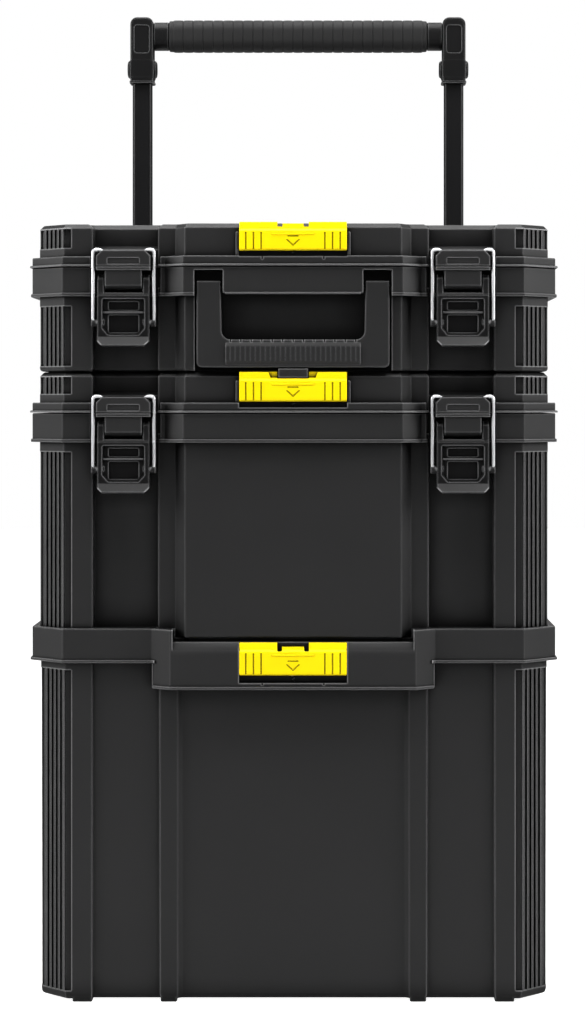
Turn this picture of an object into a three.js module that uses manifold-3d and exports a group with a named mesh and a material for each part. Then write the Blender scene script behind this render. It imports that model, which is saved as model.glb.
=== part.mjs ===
// Rolling tool box: a deep wheeled bin, a middle tool box and a top carry case, stacked,
// with a two-stage telescopic handle behind them.
// Millimetres, +Z up, front faces -Y, origin under the centre of the whole object.
import * as THREE from "three";
import { mergeVertices } from "three/addons/utils/BufferGeometryUtils.js";
import Module from "manifold-3d";

const wasm = await Module();
wasm.setup();

// ---------------------------------------------------------------- driving dimensions
const WIDTH = 489.8; // over the seam lips
const LIP = 2.3; // how far a seam lip stands out of its flange
const HALF = WIDTH / 2 - LIP; // half width of a flange
const BODY_HALF = HALF - 7; // half width of a box body
const BIN_HALF = HALF - 8;
const WALL = 2.6;
const GAP = 0.3; // clearance between touching pieces

const FRONT = -142; // front plane of a flange beside the centre
const CENTRE = -157; // front plane of a flange at the centre
const BODY_FRONT = FRONT + 5;
const BODY_CENTRE = CENTRE + 7;
const RECESS = -124; // back of the latch recesses
const BOX_REAR = 89; // rear of the tool box flanges
const BODY_REAR = BOX_REAR - 4;
const BIN_REAR = 122;
const OVERALL_REAR = 159.3;

// levels above the floor
const BIN_FLOOR = 2.5;
const RIM_LOW = 290; // underside of the rim at the centre
const RIM_SIDE_LOW = 313;
const RIM_CENTRE_TOP = 332;
const RIM_TOP = 343.5;
const RIM_SPLIT = 318; // the rim is a piece of its own above this level
const MID_FLOOR = 335;
const MID_SEAM = 541;
const MID_TOP = 578.6;
const TOP_FLOOR = 579.2;
const TOP_SEAM = 675;
const TOP_TOP = 714.5;
const FLANGE_DOWN = 25; // height of a tray flange
const LID_FLANGE = 9.5; // height of a lid flange
const LIP_HEIGHT = 1.7;

// front zones, as distances from the middle
const FACET_IN = 99;
const FACET_OUT = 108;
const RIM_FACET_IN = 112;
const RIM_FACET_OUT = 130;
const RECESS_IN = 124.4;
const RECESS_OUT = 185.3;
const PILASTER_OUT = 204;
const CORNER = 25; // plan radius of a body corner
const RIB_DEPTH = 3; // the ribbed corners are set back by this much
const RIB_WRAP = 30; // how far the ribbed zone runs along the side

// latches
const LATCH_X = 155;
const LEVER_HALF = 24;
const LEVER_PIVOT = { y: -143, drop: 14 }; // below the seam
const BAIL_PIVOT = { y: -148.2, drop: 51 };
const BAIL_TOP = 14; // centre of the bail's bar above the seam
const BAIL_HALF = 27.7;
const WIRE_R = 1.75;

// stack catches
const CATCH_HALF = 49;
const CATCH_FACE = -157.8;
const CATCH_BACK = -150.3;

// carry handle
const CARRY_OUT = 88;
const CARRY_IN = 65;
const CARRY_PIVOT = { y: -148, z: 655 };

// lid hinges
const HINGE_Y = 94;
const HINGE_R = 4.6;
const HINGE_SIDES = 8;
const HINGE_X = 95;

// telescopic handle
const TUBE_X = 159.5;
const TUBE_Y = 146;
const SLEEVE = { x: 28, y: 22, z0: 30, z1: 345 };
const MIDDLE = { x: 24, y: 18, z0: 285, z1: 612 };
const INNER = { x: 20, y: 14, z0: 560, z1: 904 };
const TUBE_WALL = 1.5;
const LOWER_CLAMP = [32, 62]; // levels of the clamps that hold the sleeves
const UPPER_CLAMP = [268, 304];
const GRIP_LOW = 909.5;
const GRIP_TOP = 942.5;
const BRACKET_LOW = 877;
const BRACKET_TOP = 944.5;

// wheels
const WHEEL_R = 62.5;
const WHEEL_Y = OVERALL_REAR - WHEEL_R;
const WHEEL_IN = 195;
const WHEEL_OUT = 226;
const WELL_X = 189;
const WELL_TOP = 133;
const WELL_FRONT = 26;

// ---------------------------------------------------------------- solid helpers
function toSolid(geometry) {
  const bare = geometry.clone();
  bare.deleteAttribute("normal");
  bare.deleteAttribute("uv");
  const merged = mergeVertices(bare, 1e-4);
  return new wasm.Manifold(new wasm.Mesh({
    numProp: 3,
    vertProperties: new Float32Array(merged.attributes.position.array),
    triVerts: new Uint32Array(merged.index.array),
  }));
}

function toGeometry(solid) {
  const mesh = solid.getMesh();
  const geometry = new THREE.BufferGeometry();
  geometry.setAttribute("position", new THREE.BufferAttribute(mesh.vertProperties, 3));
  geometry.setIndex(new THREE.BufferAttribute(mesh.triVerts, 1));
  geometry.computeVertexNormals();
  return geometry;
}

function block(x0, x1, y0, y1, z0, z1) {
  const box = new THREE.BoxGeometry(x1 - x0, y1 - y0, z1 - z0);
  box.translate((x0 + x1) / 2, (y0 + y1) / 2, (z0 + z1) / 2);
  return toSolid(box);
}

function extrusion(points, depth) {
  const shape = new THREE.Shape(points.map(([a, b]) => new THREE.Vector2(a, b)));
  return new THREE.ExtrudeGeometry(shape, { depth, bevelEnabled: false });
}

// a plan outline raised from z0 to z1
function prismZ(points, z0, z1) {
  const geometry = extrusion(points, z1 - z0);
  geometry.translate(0, 0, z0);
  return toSolid(geometry);
}

// a side outline of [y, z] points run from x0 to x1
function prismX(points, x0, x1) {
  const geometry = extrusion(points, x1 - x0);
  geometry.applyMatrix4(new THREE.Matrix4().makeBasis(
    new THREE.Vector3(0, 1, 0), new THREE.Vector3(0, 0, 1), new THREE.Vector3(1, 0, 0)));
  geometry.translate(x0, 0, 0);
  return toSolid(geometry);
}

// a front outline of [x, z] points run from y0 to y1
function prismY(points, y0, y1) {
  const geometry = extrusion(points, y1 - y0);
  geometry.applyMatrix4(new THREE.Matrix4().makeBasis(
    new THREE.Vector3(1, 0, 0), new THREE.Vector3(0, 0, 1), new THREE.Vector3(0, -1, 0)));
  geometry.translate(0, y1, 0);
  return toSolid(geometry);
}

// a solid between two plan outlines that have the same number of points
function loft(low, z0, high, z1) {
  const count = low.length;
  const vertices = [...low.map(([x, y]) => [x, y, z0]), ...high.map(([x, y]) => [x, y, z1])];
  const triangles = [];
  for (let i = 0; i < count; i += 1) {
    const next = (i + 1) % count;
    triangles.push([i, next, count + i], [next, count + next, count + i]);
  }
  const flat = low.map(([x, y]) => new THREE.Vector2(x, y));
  for (const [a, b, c] of THREE.ShapeUtils.triangulateShape(flat, [])) {
    triangles.push([a, c, b], [count + a, count + b, count + c]);
  }
  const geometry = new THREE.BufferGeometry();
  geometry.setAttribute("position", new THREE.Float32BufferAttribute(vertices.flat(), 3));
  geometry.setIndex(triangles.flat());
  return toSolid(geometry);
}

// a round rod along X
function rodX(radius, x0, x1, y, z, sides = 16) {
  const rod = new THREE.CylinderGeometry(radius, radius, x1 - x0, sides);
  rod.rotateZ(Math.PI / 2);
  rod.translate((x0 + x1) / 2, y, z);
  return toSolid(rod);
}

// a profile of [radius, distance] points turned about an axis along X
function turnedX(profile, y, z, sides, centreX = 0) {
  const points = profile.map(([r, along]) => new THREE.Vector2(r, along));
  const lathe = new THREE.LatheGeometry(points, sides);
  lathe.rotateZ(-Math.PI / 2);
  lathe.translate(centreX, y, z);
  return toSolid(lathe);
}

// a wire of radius r along a list of points joined by straight runs and bends
function wire(points, radius, sides, steps, bend = 0.35) {
  const path = new THREE.CatmullRomCurve3(points.map((p) => new THREE.Vector3(...p)),
    false, "catmullrom", bend);
  const ring = new THREE.Shape();
  for (let i = 0; i < sides; i += 1) {
    const angle = (i / sides) * 2 * Math.PI;
    const x = radius * Math.cos(angle);
    const y = radius * Math.sin(angle);
    if (i === 0) ring.moveTo(x, y);
    else ring.lineTo(x, y);
  }
  return toSolid(new THREE.ExtrudeGeometry(ring, { steps, extrudePath: path }));
}

const joined = (solids) => solids.reduce((all, solid) => all.add(solid));
const cut = (solid, tools) => tools.reduce((left, tool) => left.subtract(tool), solid);
const bothSides = (make) => [make(-1), make(1)];

// a block given by distances from the middle, on one side
function sideBlock(side, a, b, y0, y1, z0, z1) {
  return side > 0 ? block(a, b, y0, y1, z0, z1) : block(-b, -a, y0, y1, z0, z1);
}

function arc(cx, cy, radius, from, to, steps) {
  const points = [];
  for (let i = 0; i <= steps; i += 1) {
    const angle = ((from + ((to - from) * i) / steps) * Math.PI) / 180;
    points.push([cx + radius * Math.cos(angle), cy + radius * Math.sin(angle)]);
  }
  return points;
}

// a rounded rectangle about a centre, as outline points
function roundedBox(cx, cy, width, height, radius, steps = 2) {
  const [w, h] = [width / 2 - radius, height / 2 - radius];
  return [
    ...arc(cx + w, cy - h, radius, -90, 0, steps),
    ...arc(cx + w, cy + h, radius, 0, 90, steps),
    ...arc(cx - w, cy + h, radius, 90, 180, steps),
    ...arc(cx - w, cy - h, radius, 180, 270, steps),
  ];
}

const mirrored = (right) => [...right, ...right.map(([x, y]) => [-x, y]).reverse()];

// ---------------------------------------------------------------- plan outlines
// Each outline runs round the box seen from above; grow moves every wall outwards.
function bodyOutline(shell, grow = 0) {
  const g = grow;
  const { half, front, centre, rear, recess, ribs } = shell;
  const rib = front + ribs - g;
  const edge = CORNER - ribs + g;
  const wrap = front + RIB_WRAP - g;
  const right = [
    [shell.facetIn + 0.4 * g, centre - g],
    [shell.facetOut + 0.4 * g, front - g],
    [shell.recessIn + g, front - g],
    [shell.recessIn + g, recess - g],
    [shell.recessOut - g, recess - g],
    [shell.recessOut - g, front - g],
    [shell.pilaster + g, front - g],
    [shell.pilaster + g, rib],
    ...arc(half - CORNER, front + CORNER, edge, -90, 0, 1),
    [half - ribs + g, wrap],
    [half + g, wrap],
    [half + g, rear - RIB_WRAP + g],
    [half - ribs + g, rear - RIB_WRAP + g],
    ...arc(half - CORNER, rear - CORNER, edge, 0, 90, 1),
    [shell.pilaster + g, rear - ribs + g],
    [shell.pilaster + g, rear + g],
  ];
  return mirrored(right);
}

function flangeOutline(flange, grow = 0) {
  const { half, front, centre, rear } = flange;
  const corner = CORNER + 6;
  const right = [
    [flange.facetIn + 0.4 * grow, centre - grow],
    [flange.facetOut + 0.4 * grow, front - grow],
    ...(flange.open ? [
      [RECESS_IN - 2.4, front - grow],
      [RECESS_IN - 2.4, RECESS],
      [RECESS_OUT, RECESS],
      [RECESS_OUT, front - grow],
    ] : []),
    ...arc(half - corner, front + corner, corner + grow, -90, 0, 1),
    ...arc(half - corner, rear - corner, corner + grow, 0, 90, 1),
  ];
  return mirrored(right);
}

const BOX = {
  half: BODY_HALF, front: BODY_FRONT, centre: BODY_CENTRE, rear: BODY_REAR, ribs: RIB_DEPTH,
  recess: RECESS, recessIn: RECESS_IN, recessOut: RECESS_OUT - 1.5, pilaster: PILASTER_OUT,
  facetIn: FACET_IN, facetOut: FACET_OUT,
};
const BIN = {
  half: BIN_HALF, front: BODY_FRONT, centre: BODY_FRONT + 4, rear: BIN_REAR, ribs: RIB_DEPTH,
  recess: BODY_FRONT + 4, recessIn: 123.4, recessOut: 184, pilaster: PILASTER_OUT,
  facetIn: 102, facetOut: 106,
};
const FLANGE = {
  half: HALF, front: FRONT, centre: CENTRE, rear: BOX_REAR, open: true,
  facetIn: FACET_IN + 1, facetOut: 117.5,
};
const RIM = {
  half: HALF, front: FRONT, centre: CENTRE, rear: BIN_REAR + 4, open: false,
  facetIn: RIM_FACET_IN, facetOut: RIM_FACET_OUT,
};

// ---------------------------------------------------------------- tool box shells
const KNUCKLE = 9; // half length of a lid's middle knuckle
const TRAY_KNUCKLE = 24; // outer end of the tray's knuckles

// three knuckles about the hinge axis; the lid has the middle one, the tray the two outer
function knuckle(x0, x1, seam, side) {
  const barrel = rodX(HINGE_R, x0, x1, HINGE_Y, seam, HINGE_SIDES);
  const reach = side > 0 ? [seam + GAP, seam + LID_FLANGE] : [seam - LID_FLANGE, seam - GAP];
  const arm = block(x0, x1, BOX_REAR - 3, HINGE_Y, reach[0], reach[1]);
  return barrel.add(arm);
}

function hingeBore(seam, x) {
  return rodX(2.4, x - 40, x + 40, HINGE_Y, seam, HINGE_SIDES);
}

// room in one part for the knuckles of the other
function hingeRelief(seam, x, a, b) {
  return rodX(HINGE_R + 0.8, x + a, x + b, HINGE_Y, seam, HINGE_SIDES);
}

function trayKnuckles(seam) {
  return bothSides((s) => joined([
    knuckle(s * HINGE_X - TRAY_KNUCKLE, s * HINGE_X - KNUCKLE - GAP, seam, -1),
    knuckle(s * HINGE_X + KNUCKLE + GAP, s * HINGE_X + TRAY_KNUCKLE, seam, -1),
  ]));
}

// the block between a latch lever's arms, with its rib
function latchMount(seam, side) {
  const x = side * LATCH_X;
  const low = seam - 22;
  return block(x - 17, x + 17, LEVER_PIVOT.y - 3, RECESS + 1, low, seam - GAP);
}

function latchPinBore(seam, side) {
  const x = side * LATCH_X;
  return rodX(2.4, x - 28, x + 28, LEVER_PIVOT.y, seam - LEVER_PIVOT.drop, 8);
}

function trayShell(floor, seam) {
  const flangeLow = seam - FLANGE_DOWN;
  const outer = joined([
    loft(bodyOutline(BOX, -3), floor, bodyOutline(BOX), floor + 3),
    prismZ(bodyOutline(BOX), floor + 3, flangeLow + 1),
    prismZ(flangeOutline(FLANGE), flangeLow, seam - GAP),
    prismZ(flangeOutline(FLANGE, LIP - 1), flangeLow - 2, flangeLow + 0.5),
    ...bothSides((s) => latchMount(seam, s)),
    ...trayKnuckles(seam),
  ]);
  const hollow = { ...BOX, centre: BODY_FRONT };
  const centreFill = floor > 500 ? hollow : BOX;
  return cut(outer, [
    prismZ(bodyOutline(centreFill, -WALL), floor + WALL, seam + 5),
    ...bothSides((s) => latchPinBore(seam, s)),
    ...bothSides((s) => hingeBore(seam, s * HINGE_X)),
    ...bothSides((s) => hingeRelief(seam, s * HINGE_X, -KNUCKLE - GAP, KNUCKLE + GAP)),
  ]);
}

// the ledge in a lid's latch recess and the block that the bail holds
function lidHook(seam, side) {
  const [a, b] = [RECESS_IN - 1, RECESS_OUT];
  const ledge = [
    [RECESS + 6, seam + 0.3], [RECESS - 9, seam + 0.3], [RECESS - 9, seam + 16],
    [RECESS, seam + 19.5], [RECESS + 6, seam + 19.5],
  ];
  const x = side * LATCH_X;
  const nose = prismY([
    [x - 24.5, seam + GAP], [x + 24.5, seam + GAP], [x + 24.5, seam + 9.5],
    [x + 20, seam + 14.2], [x - 20, seam + 14.2], [x - 24.5, seam + 9.5],
  ], LEVER_PIVOT.y - 3, RECESS);
  return prismX(ledge, side > 0 ? a : -b, side > 0 ? b : -a).add(nose);
}

function lidShell(seam, top) {
  const flange = { ...FLANGE, centre: CENTRE };
  const upper = bodyOutline(BOX);
  const outer = joined([
    prismZ(flangeOutline(flange, LIP), seam + GAP, seam + LIP_HEIGHT),
    prismZ(flangeOutline(flange), seam + GAP, seam + LID_FLANGE),
    prismZ(upper, seam + GAP, top - 4),
    loft(upper, top - 4, bodyOutline(BOX, -4), top),
    ...bothSides((s) => lidHook(seam, s)),
    ...bothSides((s) => knuckle(s * HINGE_X - KNUCKLE, s * HINGE_X + KNUCKLE, seam, 1)),
    ...bothSides((s) => sideBlock(s, CATCH_HALF + 0.7, CATCH_HALF + 3.4, CATCH_BACK - 4,
      CATCH_BACK + 1, seam + LID_FLANGE, top - 8)),
  ]);
  const inner = { ...BOX, recess: RECESS };
  return cut(outer, [
    prismZ(bodyOutline(inner, -WALL - 0.5), seam - 1, top - WALL),
    ...bothSides((s) => hingeBore(seam, s * HINGE_X)),
    ...bothSides((s) => hingeRelief(seam, s * HINGE_X, -TRAY_KNUCKLE - GAP, -KNUCKLE)),
    ...bothSides((s) => hingeRelief(seam, s * HINGE_X, KNUCKLE, TRAY_KNUCKLE + GAP)),
  ]);
}

// ---------------------------------------------------------------- middle box and top case
function midTray() {
  const plug = prismZ(bodyOutline(BOX, -7), MID_FLOOR - 8, MID_FLOOR + 1);
  const plugHollow = prismZ(bodyOutline(BOX, -10), MID_FLOOR - 5, MID_FLOOR + 5);
  return cut(trayShell(MID_FLOOR, MID_SEAM).add(plug), [plugHollow]);
}

function midLid() {
  const catchRoom = block(-CATCH_HALF - GAP, CATCH_HALF + GAP, CENTRE - 5, CATCH_BACK + GAP,
    MID_SEAM + 5, MID_TOP + 1);
  return cut(lidShell(MID_SEAM, MID_TOP), [catchRoom]);
}

function topLid() {
  const catchRoom = block(-CATCH_HALF - GAP, CATCH_HALF + GAP, CENTRE - 5, CATCH_BACK + GAP,
    TOP_SEAM + 8.8, TOP_TOP + 2);
  return cut(lidShell(TOP_SEAM, TOP_TOP), [catchRoom]);
}

const POCKET_BACK = -136;
const TAB_HALF = 13.5;

function topTray() {
  const pocket = block(-CARRY_OUT - 2, CARRY_OUT + 2, CENTRE - 5, POCKET_BACK,
    TOP_FLOOR - 5, TOP_SEAM - FLANGE_DOWN + 1);
  const slots = bothSides((s) => sideBlock(s, CARRY_IN - 1, CARRY_OUT + 2, CENTRE - 5,
    POCKET_BACK, TOP_SEAM - FLANGE_DOWN - 5, TOP_SEAM - 3.5));
  const lipCut = block(-CARRY_OUT - 2, CARRY_OUT + 2, CENTRE - 5, POCKET_BACK,
    TOP_SEAM - FLANGE_DOWN - 5, TOP_SEAM - FLANGE_DOWN);
  const tab = joined([
    block(-TAB_HALF, TAB_HALF, CATCH_BACK - 5.5, CATCH_BACK - 0.2, TOP_FLOOR - 6,
      TOP_FLOOR + 2.3),
    block(-TAB_HALF, TAB_HALF, CATCH_BACK - 5.5, POCKET_BACK + 2, TOP_FLOOR + 0.2,
      TOP_FLOOR + 2.3),
  ]);
  const pins = rodX(3.2, -CARRY_OUT - 12, CARRY_OUT + 12, CARRY_PIVOT.y, CARRY_PIVOT.z, 12);
  return cut(trayShell(TOP_FLOOR, TOP_SEAM), [pocket, lipCut, ...slots, pins]).add(tab);
}

function carryHandle() {
  const outline = [
    ...arc(-CARRY_OUT + 8, 590, 8, 180, 270, 3), ...arc(CARRY_OUT - 8, 590, 8, 270, 360, 3),
    [CARRY_OUT, 662], [CARRY_IN, 662],
    ...arc(CARRY_IN - 7, 615, 7, 0, -90, 3), ...arc(-CARRY_IN + 7, 615, 7, -90, -180, 3),
    [-CARRY_IN, 662], [-CARRY_OUT, 662],
  ];
  const front = CENTRE - 0.5;
  const frame = prismY(outline, front + 2, POCKET_BACK - 4);
  const grip = prismX([
    [front + 6, 583], [POCKET_BACK - 6, 583], [POCKET_BACK - 2, 588], [POCKET_BACK - 2, 602],
    [POCKET_BACK - 6, 607], [front + 6, 607], [front, 601], [front, 589],
  ], -CARRY_IN + 1, CARRY_IN - 1);
  const bore = rodX(3.2, -100, 100, CARRY_PIVOT.y, CARRY_PIVOT.z, 12);
  return frame.add(grip).subtract(bore);
}

function carryPin(side) {
  const [a, b] = [CARRY_IN - 7, CARRY_OUT + 8];
  return rodX(2.9, side > 0 ? a : -b, side > 0 ? b : -a, CARRY_PIVOT.y, CARRY_PIVOT.z, 12);
}

// ---------------------------------------------------------------- latches
function latchLever(seam, side) {
  const x = side * LATCH_X;
  const plate = prismX([
    [-138, seam - 24], [-140, seam - 58], [-143, seam - 66], [-150, seam - 73],
    [-153.5, seam - 72], [-152, seam - 64], [-151.5, seam - 26], [-149, seam - 24],
  ], x - LEVER_HALF, x + LEVER_HALF);
  const arms = bothSides((s) => prismX([
    [-138, seam - 25], [-150, seam - 25], [-147.5, seam - 8], [-140, seam - 7],
    [-138, seam - 9],
  ], x + s * 20.8 - 3.2, x + s * 20.8 + 3.2));
  const dish = block(x - 19, x + 19, -160, -147, seam - 62, seam - 30);
  const rib = block(x - 20, x + 20, -150.5, -146, seam - 34.5, seam - 32);
  const bores = [
    rodX(2.4, x - 30, x + 30, LEVER_PIVOT.y, seam - LEVER_PIVOT.drop, 8),
    ...bothSides((s) => rodX(2.3, x + s * 21.5 - 3, x + s * 21.5 + 3, BAIL_PIVOT.y,
      seam - BAIL_PIVOT.drop, 8)),
  ];
  return cut(cut(joined([plate, ...arms]), [dish]).add(rib), bores);
}

function leverPin(seam, side) {
  const x = side * LATCH_X;
  return rodX(2, x - 23.8, x + 23.8, LEVER_PIVOT.y, seam - LEVER_PIVOT.drop, 8);
}

function latchBail(seam, side) {
  const x = side * LATCH_X;
  const low = seam - BAIL_PIVOT.drop;
  const top = seam + BAIL_TOP;
  const y = BAIL_PIVOT.y;
  const right = [
    [20, y, low], [24.8, y, low], [27, y, low + 2.5], [BAIL_HALF, y, low + 8],
    [BAIL_HALF, y, top - 8], [BAIL_HALF, y, top - 4], [BAIL_HALF - 4, y, top],
    [BAIL_HALF - 8, y, top],
  ];
  const points = [...right, ...right.map(([a, b, c]) => [-a, b, c]).reverse()]
    .map(([a, b, c]) => [a + x, b, c]);
  return wire(points, WIRE_R, 5, 32);
}

// ---------------------------------------------------------------- stack catches
function catchPlate(low, top, notch) {
  const plate = prismX([
    [CATCH_FACE + 1.5, low], [CATCH_BACK, low], [CATCH_BACK, top], [CATCH_FACE + 2, top],
    [CATCH_FACE + 2, top - 8], [CATCH_FACE, top - 10], [CATCH_FACE, low + 2],
  ], -CATCH_HALF, CATCH_HALF);
  const springRoom = block(-2.6, 2.6, CATCH_BACK - 4.4, CATCH_BACK + 1, low - 1, low + 16);
  return cut(plate, [...notch, springRoom]);
}

function taperedNotch(top) {
  return prismY([[-22, top + 1], [-20.5, top - 5], [20.5, top - 5], [22, top + 1]], -170, -140);
}

function topCatch() {
  const low = TOP_SEAM + 14;
  const top = TOP_TOP + 0.9;
  return catchPlate(low, top, [block(-14.3, 14.3, -170, -140, top - 5, top + 1)]);
}

function midCatch() {
  const low = MID_SEAM + 10.4;
  const top = MID_TOP;
  const room = block(-TAB_HALF - 1, TAB_HALF + 1, -170, -140, top - 6.5, top + 1);
  return catchPlate(low, top, [taperedNotch(top), room]);
}

function binCatch() {
  const low = RIM_CENTRE_TOP - 30;
  const top = RIM_CENTRE_TOP - 0.2;
  const slits = bothSides((s) => sideBlock(s, 9.5, 14.5, -170, -140, top - 8, top + 1));
  return catchPlate(low, top, [block(-9.6, 9.6, -170, -140, top - 3.7, top + 1), ...slits]);
}

// a small coil spring standing behind a catch
function catchSpring(low) {
  const [turns, coil, height] = [4, 1.5, 14];
  const points = [];
  for (let i = 0; i <= turns * 6; i += 1) {
    const angle = (i * Math.PI) / 3;
    points.push([coil * Math.cos(angle), CATCH_BACK - 2.2 + coil * Math.sin(angle),
      low + 0.5 + (i / (turns * 6)) * (height - 1)]);
  }
  return wire(points, 0.35, 3, turns * 6, 0.5);
}

// ---------------------------------------------------------------- bin
function well(side, grow) {
  return sideBlock(side, WELL_X - grow, HALF + 20, WELL_FRONT - grow, BIN_REAR + 60, -20,
    WELL_TOP + grow);
}

// a clamp that holds a handle sleeve to the back of the bin
function sleeveClamp(side, z0, z1) {
  const x = side * TUBE_X;
  const bore = prismZ(roundedBox(x, TUBE_Y, SLEEVE.x + 2 * GAP, SLEEVE.y + 2 * GAP, 6), z0 - 1,
    z1 + 1);
  return block(x - 18.5, x + 18.5, BIN_REAR + GAP, OVERALL_REAR, z0, z1).subtract(bore);
}

function binRim() {
  const band = joined([
    prismZ(flangeOutline(RIM), RIM_SIDE_LOW, RIM_TOP),
    prismZ(flangeOutline(RIM, LIP - 0.5), RIM_SIDE_LOW - 1, RIM_SIDE_LOW + 1.5),
  ]);
  const skirt = joined([
    prismZ(flangeOutline(RIM), RIM_LOW, RIM_SIDE_LOW + 1),
    prismZ(flangeOutline(RIM, LIP - 0.5), RIM_LOW - 1, RIM_LOW + 1.5),
  ]).intersect(block(-128.5, 128.5, CENTRE - 10, 0, RIM_LOW - 2, RIM_TOP));
  const lowered = block(-RIM_FACET_IN, RIM_FACET_IN, CENTRE - 10, BODY_FRONT - 1, RIM_CENTRE_TOP,
    RIM_TOP + 1);
  const bevel = prismX([
    [CENTRE - 5, RIM_CENTRE_TOP - 7.5], [CENTRE, RIM_CENTRE_TOP - 7.5],
    [BODY_CENTRE - 1.5, RIM_CENTRE_TOP], [BODY_CENTRE - 1.5, RIM_CENTRE_TOP + 2],
    [CENTRE - 5, RIM_CENTRE_TOP + 2],
  ], -RIM_FACET_IN, RIM_FACET_IN);
  return cut(band.add(skirt), [lowered, bevel]);
}

function bottomBin() {
  const outline = bodyOutline(BIN);
  const feet = joined([...bothSides((s) => sideBlock(s, 185, 203, BODY_FRONT + 1, BODY_FRONT + 40,
    0, BIN_FLOOR + 4)), ...bothSides((s) => sideBlock(s, 107, 122, BODY_FRONT + 1,
    BODY_FRONT + 40, 0, BIN_FLOOR + 4))]);
  const outer = joined([
    loft(bodyOutline(BIN, -5), BIN_FLOOR, outline, BIN_FLOOR + 6),
    prismZ(outline, BIN_FLOOR + 6, RIM_TOP),
    feet,
    binRim(),
  ]);
  const deck = 331;
  const opening = bodyOutline(BOX, -6);
  const seat = bodyOutline(BOX, 0.8);
  const inside = prismZ(bodyOutline(BIN, -WALL), BIN_FLOOR + WALL, deck)
    .subtract(joined(bothSides((s) => well(s, WALL))));
  const catchRoom = block(-CATCH_HALF - GAP, CATCH_HALF + GAP, CENTRE - 5, CATCH_BACK + GAP,
    RIM_CENTRE_TOP - 37, RIM_TOP);
  return cut(outer, [
    inside,
    prismZ(opening, MID_FLOOR - 10, RIM_TOP + 1),
    prismZ(seat, MID_FLOOR - GAP, RIM_TOP + 1),
    catchRoom,
    ...bothSides((s) => well(s, 0)),
    rodX(5.3, -240, 240, WHEEL_Y, WHEEL_R, 16),
  ]);
}

// ---------------------------------------------------------------- wheels
function axleBolt(side) {
  const profile = [
    [0, 172], [5, 172], [5, WHEEL_OUT + 0.8], [10, WHEEL_OUT + 0.8], [9, WHEEL_OUT + 4],
    [0, WHEEL_OUT + 4],
  ];
  const bolt = turnedX(profile, WHEEL_Y, WHEEL_R, 16);
  return side > 0 ? bolt : bolt.mirror([1, 0, 0]);
}

function axleNut(side) {
  const profile = [[5.3, 176], [9, 176], [9, 185.4], [5.3, 185.4], [5.3, 176]];
  const nut = turnedX(profile, WHEEL_Y, WHEEL_R, 6);
  const bore = rodX(5.3, 170, 190, WHEEL_Y, WHEEL_R, 16);
  const clear = nut.subtract(bore);
  return side > 0 ? clear : clear.mirror([1, 0, 0]);
}

function wheelHub(side) {
  const profile = [
    [5.4, WHEEL_IN - 4], [13, WHEEL_IN - 4], [13, WHEEL_IN + 4], [40, WHEEL_IN + 6],
    [44, WHEEL_IN + 1], [46, WHEEL_IN + 1], [46, WHEEL_OUT - 1], [43, WHEEL_OUT - 1],
    [40, WHEEL_OUT - 8], [16, WHEEL_OUT - 5], [13, WHEEL_OUT], [5.4, WHEEL_OUT],
    [5.4, WHEEL_IN - 4],
  ];
  const hub = turnedX(profile, WHEEL_Y, WHEEL_R, 16);
  return side > 0 ? hub : hub.mirror([1, 0, 0]);
}

function tyre(side) {
  const [inner, outer] = [46.4, WHEEL_R];
  const profile = [
    [inner, WHEEL_IN], [outer - 5, WHEEL_IN], [outer - 1.2, WHEEL_IN + 3.5],
    [outer, WHEEL_IN + 9], [outer, WHEEL_OUT - 9], [outer - 1.2, WHEEL_OUT - 3.5],
    [outer - 5, WHEEL_OUT], [inner, WHEEL_OUT], [inner, WHEEL_IN],
  ];
  const ring = turnedX(profile, WHEEL_Y, WHEEL_R, 24);
  return side > 0 ? ring : ring.mirror([1, 0, 0]);
}

// ---------------------------------------------------------------- telescopic handle
function tube(side, size) {
  const x = side * TUBE_X;
  const outer = prismZ(roundedBox(x, TUBE_Y, size.x, size.y, 6), size.z0, size.z1);
  const bore = prismZ(roundedBox(x, TUBE_Y, size.x - 2 * TUBE_WALL, size.y - 2 * TUBE_WALL, 4.5),
    size.z0 - 1, size.z1 + 1);
  return outer.subtract(bore);
}

function collar(side, size, inner) {
  const x = side * TUBE_X;
  const outer = loft(roundedBox(x, TUBE_Y, size.x, size.y, 5), size.z0,
    roundedBox(x, TUBE_Y, size.x - 3, size.y - 2, 4), size.z1);
  const bore = prismZ(roundedBox(x, TUBE_Y, inner.x + 2 * GAP, inner.y + 2 * GAP, 6),
    size.z0 - 1, size.z1 + 1);
  return outer.subtract(bore);
}

const PIN_Z = 892;

function innerTube(side) {
  const bore = rodX(3.4, side * TUBE_X - 20, side * TUBE_X + 20, TUBE_Y, PIN_Z, 8);
  return tube(side, INNER).subtract(bore);
}

function bracket(side) {
  const x = side * TUBE_X;
  const elbow = prismY([
    [x - 11.8, BRACKET_LOW], [x + 11.8, BRACKET_LOW], ...arc(x + 11.8 - 6, BRACKET_TOP - 6, 6, 0,
      90, 3), ...arc(x - 11.8 + 6, BRACKET_TOP - 6, 6, 90, 180, 3),
  ], TUBE_Y - 13, TUBE_Y + 13);
  const socket = prismZ(roundedBox(x, TUBE_Y, INNER.x + 2 * GAP, INNER.y + 2 * GAP, 6),
    BRACKET_LOW - 1, INNER.z1 + GAP);
  const bore = rodX(3.4, x - 20, x + 20, TUBE_Y, PIN_Z, 8);
  return cut(elbow, [socket, bore]);
}

function bracketPin(side) {
  const x = TUBE_X;
  const profile = [
    [0, -15], [6.5, -15], [9, -13.2], [9, -12.1], [3, -12.1], [3, 12.1], [9, 12.1], [9, 13.2],
    [6.5, 15], [0, 15],
  ];
  return turnedX(profile, TUBE_Y, PIN_Z, 8, side * x);
}

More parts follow.
